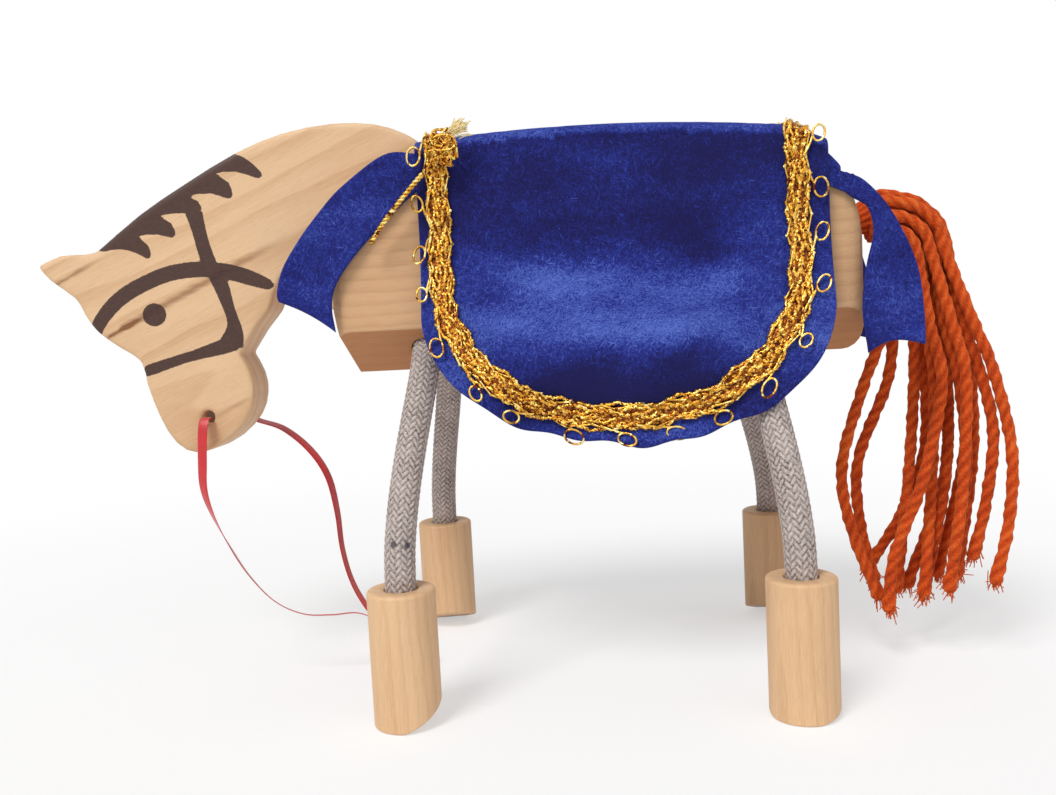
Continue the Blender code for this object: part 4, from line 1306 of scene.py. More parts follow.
    def hoof(self, leg: Leg) -> Piece:
        """A dowel hoof.

        The surface is a ring profile turned about the axis: up the bore, over the rounded rim, down the wall and
        across the end. The end's height at a point is the slope times how far the point lies inside the flat strip
        that the hoof stands on.

        Args:
            leg: which leg.

        Returns:
            The hoof.
        """
        low, high = self.maker.body.box(f"hoof_{leg.value}")
        centre = (low + high) / 2
        sole = self.soles[leg]
        bore, rim, lip, foot = self.rope_radius + GAP, 0.8, 0.35, 0.5
        round_over = np.linspace(0.0, math.pi / 2, 6)
        wall_rows = 14
        radii = np.concatenate([[0.02, bore, bore, bore + lip], self.hoof_radius - rim + rim * np.sin(round_over),
                                np.full(wall_rows, self.hoof_radius),
                                self.hoof_radius - foot * (1 - np.cos(round_over)), [5.0, 2.5, 0.02]])
        top = self.hoof_height
        heights = np.concatenate([[top - self.bore_depth] * 2, [top - lip, top], top - rim + rim * np.cos(round_over)])
        wall = slice(len(heights), len(heights) + wall_rows)
        turn_in = slice(wall.stop, wall.stop + len(round_over))
        angle = ring_angles(128)
        flat = radii[:, None, None] * np.stack([np.cos(angle), np.sin(angle)], axis=-1)
        strip = self.hoof_radius - self.sole_width
        end = np.maximum(strip - flat @ self.low_way(leg), 0.0) * math.tan(math.radians(sole.slope))
        z = np.zeros((len(radii), len(angle)))
        z[:wall.start] = heights[:, None]
        down = np.linspace(0.0, 1.0, wall_rows)[:, None]
        z[wall] = (top - rim) * (1 - down) + (end[wall] + foot) * down
        z[turn_in] = end[turn_in] + foot * (1 - np.sin(round_over))[:, None]
        z[turn_in.stop:] = end[turn_in.stop:]
        points = np.dstack([flat[..., 0] + centre[0], flat[..., 1] + centre[1], z])
        material = Wood(f"hoof_wood_{leg.value}", along=Along.Z, spacing=2.6,
                        pith=(14.0 - self.maker.body.centre_x - centre[0], 11.0 - centre[1]),
                        pale=srgb(224, 186, 144), dark=srgb(186, 138, 94), ring_weight=0.17).material()
        made = self.maker.tubes(f"hoof_dowel_{leg.value}", points[None], material)
        made.data.set_sharp_from_angle(angle=math.radians(50))
        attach(made, f"foot_{leg.value}")
        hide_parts(f"hoof_{leg.value}")
        return made

    def build(self) -> None:
        """Build the ropes and hooves."""
        rope = PlaitedRope().material()
        for leg in Leg:
            self.rope_half(leg, True, rope)
            self.rope_half(leg, False, rope)
            self.hoof(leg)


@dataclass
class SaddleCloth:
    """The felt cloth over the back, which flares and waves towards its hem."""

    maker: Maker
    front: float = -41.0
    rear: float = 56.0
    edge_foot: float = 95.0
    low_x: float = 10.0
    hem: float = 62.5
    bend: float = 2.0
    flare: float = 10.4
    flare_top: float = 116.0
    flare_foot: float = 66.0
    droop_x: float = 50.0
    rows: int = 118
    columns: int = 236

    @property
    def half_width(self) -> float:
        """Half width of the middle surface over the back."""
        return self.maker.body.half_width + 2 * GAP + FELT * 1.5

    @property
    def top_run(self) -> float:
        """Reach at which the cloth starts to bend over the back's edge."""
        return self.half_width - self.bend

    @property
    def bend_end(self) -> float:
        """Reach at which the bend ends."""
        return self.top_run + self.bend * math.pi / 2

    def support(self, x: Array) -> Array:
        """Height of the middle surface over the back, straight on past the last stretch that rests.

        Args:
            x: distance along the horse.

        Returns:
            The heights.
        """
        body = self.maker.body
        slope = body.back(np.array(self.droop_x)) - body.back(np.array(self.droop_x - 1.0))
        resting = body.back(np.minimum(x, self.droop_x)) + 2 * GAP + 1.5 * FELT
        return resting + slope * np.maximum(x - self.droop_x, 0.0)

    def hem_height(self, x: Array) -> Array:
        """Height of the hem: two quarter ellipses that meet at its lowest place, with the cut's slight waver.

        Args:
            x: distance along the horse.

        Returns:
            The heights.
        """
        run = np.where(x < self.low_x, self.low_x - self.front, self.rear - self.low_x)
        share = np.clip(np.abs(x - self.low_x) / run, 0.0, 1.0)
        low = np.sqrt(1 - share * share)
        waver = 0.45 * np.sin(x / 2.3 + 0.4) * low + 0.4 * np.sin(x / 5.1 + 2.0) * low
        return self.edge_foot - (self.edge_foot - self.hem) * low + waver

    def reach_at(self, x: Array, height: Array) -> Array:
        """The reach at which the side is at a height."""
        return self.bend_end + self.support(x) - self.bend - height

    def waves(self, x: Array, share: Array, side: Array) -> Array:
        """How far the side stands out: flare, a belly, folds, a dent and a crease.

        Args:
            x: distance along the horse.
            share: share of the way down to the hem.
            side: -1 on the left, 1 on the right.

        Returns:
            Half a cosine wave of flare, with bell curves for belly, dent and crease and sines for the folds.
        """
        flare = self.flare * (1 - np.cos(math.pi * share)) / 2
        middle = np.exp(-((x - 6.0) / 26.0) ** 4)
        belly = middle * (3.4 * np.exp(-((share - 0.58) / 0.2) ** 2) - 2.6 * np.exp(-((share - 0.93) / 0.13) ** 2)
                          - 1.2 * np.exp(-((share - 0.22) / 0.2) ** 2))
        phase = 0.9 * side
        folds = (0.75 * np.sin(x / 7.5 + 0.8 + phase) + 0.55 * np.sin(x / 4.1 - 1.1 - phase)
                 + 0.35 * np.sin(x / 2.35 + 2.2 * phase)) * smoothstep(0.55, 1.05, share)
        dent = -2.4 * np.exp(-((x - 26.0 - 14.0 * (share - 0.3)) / 8.0) ** 2 - ((share - 0.36) / 0.24) ** 2)
        crease = 1.5 * np.exp(-((x - 22.0 + 46.0 * (share - 0.55)) / 8.0) ** 2 - ((share - 0.6) / 0.25) ** 2)
        return flare + belly + folds + dent + crease

    def point(self, x: Array, reach: Array) -> Array:
        """Points of the middle surface.

        Args:
            x: distance along the horse.
            reach: distance over the cloth from the middle of the back, positive to the left.

        Returns:
            Points: flat over the back, a quarter circle over its edge, then down and out by the waves.
        """
        side = np.where(reach >= 0, -1.0, 1.0)
        run = np.abs(reach)
        top = self.support(x)
        angle = np.clip((run - self.top_run) / self.bend, 0.0, math.pi / 2)
        height = top - self.bend * (1 - np.cos(angle)) - np.maximum(run - self.bend_end, 0.0)
        share = np.clip((self.flare_top - height) / (self.flare_top - self.flare_foot), 0.0, 1.15)
        out = np.where(run > self.bend_end, self.waves(x, share, side), 0.0)
        y = np.minimum(run, self.top_run) + self.bend * np.sin(angle) + out
        sag = 0.16 * np.sin(x / 8.5) * np.sin(reach / 7.0) * (run < self.top_run)
        return np.stack(np.broadcast_arrays(x, side * y, height + sag), axis=-1)

    def normal(self, x: Array, reach: Array) -> Array:
        """Outward unit normals, from differences along and down the cloth.

        Args:
            x: distance along the horse.
            reach: distance over the cloth from the middle of the back.

        Returns:
            The normals.
        """
        step = 0.08
        along = self.point(x + step, reach) - self.point(x - step, reach)
        down = self.point(x, reach + step) - self.point(x, reach - step)
        return unit(np.cross(down, along))

    def build(self) -> Piece:
        """Build the cloth.

        Returns:
            The cloth.
        """
        half = FELT / 2
        x = rim_samples(self.front, self.rear, self.rows, half)
        share = rim_samples(-1.0, 1.0, self.columns, half / 100)
        hem = self.reach_at(x, self.hem_height(x))
        reach = share[None, :] * hem[:, None]
        grid_x = np.broadcast_to(x[:, None], reach.shape)
        to_rim = np.minimum(np.minimum(grid_x - self.front, self.rear - grid_x), hem[:, None] - np.abs(reach))
        middle = self.point(grid_x, reach)
        normals = self.normal(grid_x, reach)
        # Painted light and shade by how the cloth faces: lighter where its side turns up and over the top, darker
        # where it turns down.
        nap = np.where(np.abs(reach) > self.bend_end, np.clip(normals[..., 2] * 3.0 - 0.5, -1.2, 0.7), 0.45)
        made = self.maker.sheet("saddle_felt", middle, normals, rounded_half(to_rim, half), Felt().material(), nap)
        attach(made, "torso")
        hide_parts("saddle_cloth")
        width, length = self.rear - self.front, 2 * float(hem.max())
        area = float((np.diff(x) * (hem[1:] + hem[:-1])).sum())
        width * MM
        length * MM
        return made


@dataclass
class FeltStrip:
    """A felt strip that crosses the back and hangs down both sides in shaped lobes."""

    maker: Maker
    name: str
    node: str
    over: tuple[float, float]
    outer: list[tuple[float, float]]
    inner: list[tuple[float, float]]
    free_from: float
    free_way: float
    arch: float
    bend: float = 1.0

    def _top(self, x: Array) -> Array:
        """Height of the strip's middle surface over the back."""
        return self.maker.body.back(x) + GAP + FELT / 2

    def edges(self, count: int) -> tuple[Array, Array]:
        """The lobe's outer and inner edges from the back to its tip, as so many points each.

        Args:
            count: points on each edge.

        Returns:
            The outer and the inner edge, one (x, z) pair per row.
        """
        start, end = (np.array([x, float(self._top(np.array(x))) - self.bend]) for x in self.over)
        outer = evenly(smooth_through([start, *self.outer], 8), count)
        inner = evenly(smooth_through([end, *self.inner], 8), count)
        return outer, inner

    def lift(self, x: Array, z: Array, share: Array, across: Array) -> Array:
        """How far the free part stands off the side: it grows from the saddle cloth on, and curls at its rims.

        Args:
            x: distance along the horse.
            z: height.
            share: share of the way down the lobe.
            across: share of the way from its outer to its inner edge.

        Returns:
            Distance out from where the lobe would lie flat.
        """
        free = smoothstep(0.0, 9.0, (x - self.free_from) * self.free_way)
        curl = 0.8 * (2 * across - 1) ** 2 + 0.5 * np.sin(4.5 * share + 0.7)
        wave = 0.35 * np.sin(z / 3.1 + 5.0 * across)
        return free * (0.4 + curl * smoothstep(0.2, 1.0, share) + wave + 1.3 * smoothstep(0.75, 1.0, share))

    def build(self, material: Finish) -> Piece:
        """Build the strip as a grid: rows from the right lobe's tip over the back to the left lobe's tip.

        Args:
            material: its finish.

        Returns:
            The strip.
        """
        half = FELT / 2
        side_rows = 96
        across = rim_samples(0.0, 1.0, 34, half / 16)
        outer, inner = self.edges(400)
        length = arc_lengths((outer + inner) / 2)[-1]
        share = np.concatenate([np.linspace(0.0, 1.0, side_rows)[:-1] * (1 - half / length),
                                1 - half / length * np.array([1.0, 0.55, 0.25, 0.06, 0.0])])
        at = share[:, None] * (1 - self.arch * np.sin(math.pi * across))[None, :] * (len(outer) - 1)
        index = np.arange(len(outer))
        edge_pair = [np.stack([np.interp(at, index, edge[:, k]) for k in (0, 1)], axis=-1)
                     for edge in (outer, inner)]
        side = edge_pair[0] * (1 - across)[None, :, None] + edge_pair[1] * across[None, :, None]
        wide = self.maker.body.half_width + GAP + half
        lift = self.lift(side[..., 0], side[..., 1], share[:, None], across[None, :])
        lobe = np.stack([side[..., 0], wide + lift, side[..., 1]], axis=-1)
        top_x = self.over[0] * (1 - across) + self.over[1] * across
        angle = np.linspace(0.0, math.pi / 2, 7)[:-1, None]
        bend = np.stack(np.broadcast_arrays(
            top_x[None, :], wide - self.bend + self.bend * np.sin(angle),
            self._top(top_x)[None, :] - self.bend * (1 - np.cos(angle))), axis=-1)
        y = np.linspace(0.0, wide - self.bend, 16)[:-1, None]
        flat = np.stack(np.broadcast_arrays(top_x[None, :], y, self._top(top_x)[None, :]), axis=-1)
        right = np.concatenate([flat, bend, lobe])
        left = right * np.array([1.0, -1.0, 1.0])
        middle = np.concatenate([right[::-1], left[1:]])
        normals = unit(np.cross(np.gradient(middle, axis=0), np.gradient(middle, axis=1)))
        gap = np.linalg.norm(side[:, 0] - side[:, -1], axis=1)
        gap_rows = np.concatenate([np.full(len(flat) + len(bend), abs(self.over[1] - self.over[0])), gap])
        to_tip = np.concatenate([np.full(len(flat) + len(bend), length), (1 - share) * length])
        to_side = np.minimum(across, 1 - across)[None, :] * gap_rows[:, None]
        to_rim = np.minimum(to_side, to_tip[:, None])
        to_rim = np.concatenate([to_rim[::-1], to_rim[1:]])
        made = self.maker.sheet(self.name, middle, normals, rounded_half(to_rim, half), material)
        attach(made, "torso")
        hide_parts(self.node)
        return made


@dataclass
class GoldBraid:
    """The flat gold braid round the saddle cloth, with wire loops along its outer rim and a gathered end."""

    maker: Maker
    cloth: SaddleCloth
    width: float = 6.3
    front: float = -35.8
    rear: float = 48.5
    turn: float = 103.0
    low: float = 69.0
    threads: int = 8
    periods: int = 31
    thread_radius: float = 0.44
    loops: int = 17
    loop_radius: float = 1.95
    lead_share: float = 0.3
    lead_length: float = 5.0
    lead_dip: float = 1.9
    stand_off: float = 0.5
    wire_radius: float = 0.27
    seed: int = 7

    def half_path(self) -> Array:
        """The braid's way down one side and up again, as (x, reach) rows from the middle of the back.

        Returns:
            The rows.
        """
        cloth = self.cloth
        middle, half = (self.front + self.rear) / 2, (self.rear - self.front) / 2
        angle = np.linspace(0.0, math.pi, 240)
        x = middle - half * np.cos(angle)
        height = self.turn - (self.turn - self.low) * np.sin(angle) ** 0.95
        curve = np.stack([x, cloth.reach_at(x, height)], axis=1)
        down = np.linspace([self.front, 0.0], curve[0], 120)[:-1]
        up = np.linspace(curve[-1], [self.rear, 0.0], 120)[1:]
        return np.vstack([down, curve, up])

    def path(self, count: int) -> tuple[Array, Array, Array]:
        """The closed centre line on the cloth's face with its outward normals and its directions to the rim.

        Args:
            count: how many points to make.

        Returns:
            The points, the normals and the directions to the rim.
        """
        half = self.half_path()
        flat = np.vstack([half, half[-2:0:-1] * np.array([1.0, -1.0]), half[:1]])
        place = self.cloth.point(flat[:, 0], flat[:, 1])
        along = arc_lengths(place)
        at = np.linspace(0.0, along[-1], count, endpoint=False)
        x, reach = (np.interp(at, along, flat[:, k]) for k in (0, 1))
        reach = np.where(np.abs(reach) < 0.1, 0.1, reach)
        normal = self.cloth.normal(x, reach)
        line = self.cloth.point(x, reach) + normal * (FELT / 2 + 0.15)
        across = unit(np.cross(tangents(line, closed=True), normal))
        return line, normal, across

    def threads_mesh(self, name: str, rows: Array, material: Finish) -> Piece:
        """Some of the plait's twisted threads.

        A thread runs along its own lane and swings across it as a slow sine, so that neighbours cross; it rides
        over and under them as a sine of twice the phase. Its section is an ellipse that turns along it.

        Args:
            name: the piece's name.
            rows: numbers of the threads.
            material: their finish.

        Returns:
            The threads.
        """
        count = 2300
        line, normal, across = self.path(count)
        s = np.arange(count) / count
        lane = (rows / (self.threads - 1) - 0.5)[:, None] * (self.width - 2.2)
        phase = TURN * (self.periods + rows[:, None] % 3) * s[None, :] + rows[:, None] * 2.4
        gather = 1 - 0.16 * np.cos(2 * TURN * s[None, :])
        sideways = (lane + 0.8 * np.sin(phase) + 0.14 * np.sin(phase * 5 + rows[:, None])) * gather
        up = 0.66 + 0.34 * np.sin(2 * phase + rows[:, None]) + 0.1 * np.sin(phase * 7)
        centres = line[None] + across[None] * sideways[..., None] + normal[None] * up[..., None]
        return self._closed_threads(name, centres, normal, self.thread_radius, 250, material)

    def _closed_threads(self, name: str, centres: Array, normal: Array, radius: float, turns: int,
                        material: Finish) -> Piece:
        """Closed tubes along centre lines, elliptic in section and turned so many times on their way.

        Args:
            name: the piece's name.
            centres: points of the centre lines, counted (thread, station, xyz).
            normal: normals of the cloth at the stations.
            radius: mean radius of a thread.
            turns: turns of the section on the way round.
            material: its finish.

        Returns:
            The threads, as one piece.
        """
        sides = 6
        along = unit(np.roll(centres, -1, axis=1) - np.roll(centres, 1, axis=1))
        first = unit(np.cross(along, normal[None]))
        second = np.cross(along, first)
        angle = ring_angles(sides)[None, None, :]
        twist = (np.arange(centres.shape[1]) / centres.shape[1] * TURN * turns)[None, :, None]
        swell = radius * (1 + 0.34 * np.cos(2 * (angle - twist)))
        rings = sweep(centres, first, second, swell * np.cos(angle), swell * np.sin(angle))
        return self.maker.tubes(name, rings, material, closed=True)

    def chain_stitch(self, material: Finish) -> Piece:
        """Two finer threads worked along the rims in scallops: a sine to each side with a forward loop.

        Args:
            material: its finish.

        Returns:
            Both threads, as one piece.
        """
        count = 2400
        line, normal, across = self.path(count)
        s = np.arange(count) / count
        direction = tangents(line, closed=True)
        rows = []
        for row, (offset, waves) in enumerate(((-2.35, 57), (2.35, 49))):
            phase = TURN * waves * s + row
            sideways = offset + 0.7 * np.sin(phase)
            forward = 0.9 * np.sin(2 * phase)
            rows.append(line + across * sideways[:, None] + direction * forward[:, None]
                        + normal * (0.95 + 0.2 * np.cos(phase))[:, None])
        return self._closed_threads("braid_scallops", np.array(rows), normal, 0.25, 40, material)

    def ground(self, material: Finish) -> Piece:
        """The dark ground under the threads: a thin band with an elliptic section.

        Args:
            material: its finish.

        Returns:
            The band.
        """
        count, sides = 700, 20
        line, normal, across = self.path(count)
        angle = ring_angles(sides, count)
        rings = sweep(line + normal * 0.42, across, normal, (self.width / 2 - 0.7) * np.cos(angle),
                      0.4 * np.sin(angle))
        return self.maker.tubes("braid_ground", rings[None], material, closed=True)

    def picots(self, material: Finish) -> Piece:
        """The wire loops: each leaves the rim, turns once round in the plane of the cloth and ends free.

        Args:
            material: its finish.

        Returns:
            The loops, as one piece.
        """
        rng = np.random.default_rng(self.seed)
        count = 1500
        line, normal, across = self.path(count)
        outer = across * np.sign((across * (line - np.array([(self.front + self.rear) / 2, 0, 110]))).sum(1))[:, None]
        direction = tangents(line, closed=True)
        along = arc_lengths(np.vstack([line, line[:1]]))
        total = along[-1]
        over = 2 * self.cloth.top_run
        side_length = (total - 2 * over) / 2
        shares = (np.arange(self.loops) + 0.35) / (self.loops - 0.3)
        starts = np.concatenate([over / 2 + 1.0 + shares * (side_length - 2.0),
                                 total - over / 2 - 1.0 - shares * (side_length - 2.0)])
        starts = starts + rng.uniform(-1.2, 1.2, len(starts))
        pick = np.searchsorted(along[:-1], starts % total) % count
        stations = 60
        t = np.linspace(0.0, 1.0, stations)[None, :]
        radius = self.loop_radius * rng.uniform(0.82, 1.12, len(pick))[:, None]
        sense = rng.choice([-1.0, 1.0], len(pick), p=[0.3, 0.7])[:, None]
        lean = rng.uniform(-0.1, 0.5, len(pick))[:, None]
        lead = np.clip(1 - t / self.lead_share, 0.0, 1.0)
        wound = np.clip((t - self.lead_share) / (1 - self.lead_share), 0.0, 1.0)
        turned = TURN * rng.uniform(0.93, 1.12, len(pick))[:, None] * wound
        spiral = radius * (1 - 0.12 * np.clip(turned / TURN, 0.0, 1.0))
        out = self.width / 2 + self.stand_off - self.lead_dip * lead ** 1.5 + spiral * (1 - np.cos(turned)) * 0.82
        forward = (sense * (spiral * 1.14 * np.sin(turned) - self.lead_length * lead)
                   + sense * lean * (out - self.width / 2))
        arched = rng.uniform(0.2, 1.0, len(pick))[:, None]
        lift = 0.85 + 0.7 * np.sin(math.pi * np.clip(turned / TURN, 0.0, 1.0)) * arched
        base, way, up, run = (a[pick][:, None, :] for a in (line, outer, normal, direction))
        centres = base + way * out[..., None] + run * forward[..., None] + up * lift[..., None]
        along_wire = unit(np.gradient(centres, axis=1))
        first = unit(np.cross(along_wire, np.broadcast_to(up, centres.shape)))
        second = np.cross(along_wire, first)
        return self.maker.tubes("braid_picots", round_rings(centres, first, second, self.wire_radius, 7), material)

    def gathered_end(self, gold: Finish, core: Finish) -> list[Piece]:
        """The gathered end at the withers: a tangle of loops from slow random sines, and a brush of cut cores.

        Args:
            gold: finish of the tangle.
            core: finish of the brush.

        Returns:
            The tangle and the brush.
        """
        rng = np.random.default_rng(self.seed + 4)
        low, high = self.maker.body.box("braid_knot")
        centre = (low + high) / 2 + np.array([0.2, -1.5, -6.6])
        stations, threads = 150, 15
        t = np.linspace(0.0, TURN, stations, endpoint=False)[None, :, None]
        waves = sum(rng.normal(0.0, 1.0, (threads, 1, 3)) * np.sin(k * t + rng.uniform(0, TURN, (threads, 1, 3))) / k
                    for k in (1, 2, 3))
        size = np.array([4.0, 1.5, 5.0])
        centres = centre + np.tanh(waves * 0.7) * size
        along = unit(np.roll(centres, -1, axis=1) - np.roll(centres, 1, axis=1))
        first = unit(np.cross(along, np.array([0.3, 1.0, 0.2])))
        second = np.cross(along, first)
        tangle = self.maker.tubes("braid_tangle", round_rings(centres, first, second, 0.3, 6), gold, closed=True)
        fibres = 60
        start = centre + np.array([2.6, -0.6, 3.6]) + rng.normal(0.0, 0.55, (fibres, 1, 3))
        way = unit(np.array([0.8, -0.2, 0.5]) + rng.normal(0.0, 0.22, (fibres, 1, 3)))
        reach = rng.uniform(2.8, 4.4, (fibres, 1, 1)) * np.linspace(0.0, 1.0, 5)[None, :, None]
        lines = start + way * reach + np.array([0.0, 0.0, -0.05]) * reach ** 2
        first, second = frames(lines, (0.1, 1.0, 0.0))
        brush = self.maker.tubes("braid_brush", round_rings(lines, first, second, 0.16, 5), core)
        return [tangle, brush]

    def loose_thread(self, material: Finish) -> Piece:
        """The loose end: two plies wound round each other along a line over the chest strip.

        Args:
            material: its finish.

        Returns:
            The thread.
        """
        route = [(-39.0, -24.6, 128.2), (-42.2, -25.0, 124.8), (-45.6, -24.8, 121.2), (-49.2, -24.4, 117.2),
                 (-52.6, -24.0, 112.6)]
        line = evenly(smooth_through(route, 12), 260)
        first, second = frames(line, (0.0, 1.0, 0.0))
        wind = arc_lengths(line)[None, :] / 2.3 * TURN + np.array([[0.0], [math.pi]])
        plies = line[None] + 0.33 * (first[None] * np.cos(wind)[..., None] + second[None] * np.sin(wind)[..., None])
        ply_first, ply_second = frames(plies, (0.0, 1.0, 0.0))
        return self.maker.tubes("loose_gold_thread", round_rings(plies, ply_first, ply_second, 0.36, 8), material)

    def build(self) -> None:
        """Build the braid and everything on it."""
        gold_finish = FilmThread("gold_film").material()
        wire_finish = FilmThread("gold_wire", body=srgb(226, 176, 70), fineness=0.9,
                                 painted_glint=srgb(255, 236, 160)).material()
        ground_finish = FilmThread("braid_ground", body=srgb(128, 62, 18), painted_dark_reflection=srgb(60, 24, 8),
                                   painted_glint=srgb(214, 150, 50)).material()
        numbers = np.arange(self.threads)
        pieces = [self.threads_mesh("braid_threads_even", numbers[::2], gold_finish),
                  self.threads_mesh("braid_threads_odd", numbers[1::2], gold_finish),
                  self.chain_stitch(wire_finish), self.ground(ground_finish), self.picots(wire_finish)]
        for made in pieces:
            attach(made, "torso")
        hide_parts("gold_braid")
        ends = self.gathered_end(gold_finish, CutFibre().material())
        thread = self.loose_thread(wire_finish)
        for made in (*ends, thread):
            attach(made, "torso")
        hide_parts("braid_knot")
        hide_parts("braid_thread")


@dataclass
class RibbonRein:
    """The narrow ribbon through the muzzle: two runs that end in a knot on the floor."""

    maker: Maker
    width: float = 2.8
    thickness: float = 0.3
    knot_shift: float = -3.5
    knot_width: float = 1.9
    knot_thickness: float = 1.1
    left: list[Triple] = field(default_factory=lambda: [
        (-103.1, -6.9, 71.0), (-103.2, -8.8, 70.6), (-103.5, -9.9, 67.6), (-104.1, -10.0, 60.0),
        (-104.4, -9.8, 52.5), (-102.6, -9.5, 45.2), (-98.9, -9.0, 36.8), (-94.2, -8.5, 28.4),
        (-88.2, -7.7, 21.2), (-81.0, -6.8, 17.3), (-73.5, -6.0, 16.6), (-66.5, -5.1, 16.6),
        (-60.6, -4.2, 13.4), (-56.4, -3.0, 8.2), (-53.2, -1.9, 4.4), (-50.5, -0.9, 2.9)])
    right: list[Triple] = field(default_factory=lambda: [
        (-103.1, 6.9, 71.0), (-102.6, 9.0, 70.9), (-100.0, 10.0, 70.2), (-94.9, 9.9, 68.1),
        (-88.0, 9.6, 65.5), (-80.9, 9.1, 59.4), (-76.2, 8.6, 51.8), (-74.1, 8.0, 42.0),
        (-73.1, 7.2, 31.6), (-70.8, 6.4, 22.6), (-66.8, 5.6, 15.2), (-61.0, 4.6, 9.0),
        (-55.6, 3.6, 5.2), (-50.9, 2.4, 3.2)])

    def run(self, name: str, route: list, start_turn: float, end_turn: float,
            material: Finish) -> tuple[Piece, Array]:
        """One run of ribbon: a flat section carried along the route and turned about it.

        Args:
            name: the piece's name.
            route: the run's points.
            start_turn: turn of the ribbon about its line where it leaves the muzzle, in degrees.
            end_turn: turn over the last two thirds, reached smoothly.
            material: its finish.

        Returns:
            The piece and its centre line.
        """
        line = evenly(smooth_through(route, 10), 240)
        first, second = transported(line, (1.0, 0.0, 0.0))
        share = np.linspace(0.0, 1.0, len(line))
        turn = np.radians(start_turn + (end_turn - start_turn) * smoothstep(0.12, 0.42, share)
                          + 9 * np.sin(7 * share))[:, None]
        wide = first * np.cos(turn) + second * np.sin(turn)
        thin = second * np.cos(turn) - first * np.sin(turn)
        angle = ring_angles(20, len(line))
        flat = np.sign(np.cos(angle)) * np.abs(np.cos(angle)) ** 0.55 * self.width / 2
        rings = sweep(line, wide, thin, flat, np.sin(angle) * self.thickness / 2)
        along = np.repeat(arc_lengths(line), 20)
        return self.maker.tubes(name, rings[None], material, {"along": along}), line

    def knot(self, material: Finish) -> Piece:
        """The knot: a closed trefoil of ribbon, drawn tight, as big as its CAD box and a little forward of it.

        Args:
            material: its finish.

        Returns:
            The knot.
        """
        low, high = self.maker.body.box("rein_knot")
        centre, half = (low + high) / 2 + np.array([self.knot_shift, 0.0, 0.0]), (high - low) / 2
        t = np.linspace(0.0, TURN, 200, endpoint=False)
        loop = np.stack([np.sin(t) + 2 * np.sin(2 * t), np.cos(t) - 2 * np.cos(2 * t), -np.sin(3 * t)], axis=1)
        line = centre + loop / np.array([3.0, 3.0, 1.0]) * (half - np.array([1.0, 0.8, 1.3]))
        along = tangents(line, closed=True)
        first = unit(np.cross(along, np.array([0.0, 0.0, 1.0])))
        second = np.cross(along, first)
        angle = ring_angles(14, len(line))
        rings = sweep(line, first, second, self.knot_width / 2 * np.cos(angle),
                      self.knot_thickness / 2 * np.sin(angle))
        return self.maker.tubes("ribbon_knot", rings[None], material, {"along": np.repeat(t * 3, 14)}, closed=True)

    def build(self) -> None:
        """Build both runs and the knot."""
        material = SatinRibbon().material()
        knot = self.knot(material)
        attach(knot, "torso")
        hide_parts("rein_knot")
        for name, node, route, turns in (("ribbon_left", "rein_left", self.left, (0.0, 64.0)),
                                         ("ribbon_right", "rein_right", self.right, (26.0, 34.0))):
            made, line = self.run(name, route, *turns, material)
            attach(made, "torso")
            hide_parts(node)
            path = self.maker.body.place(line)
            self.width * MM
            [knot] if node == "rein_left" else []


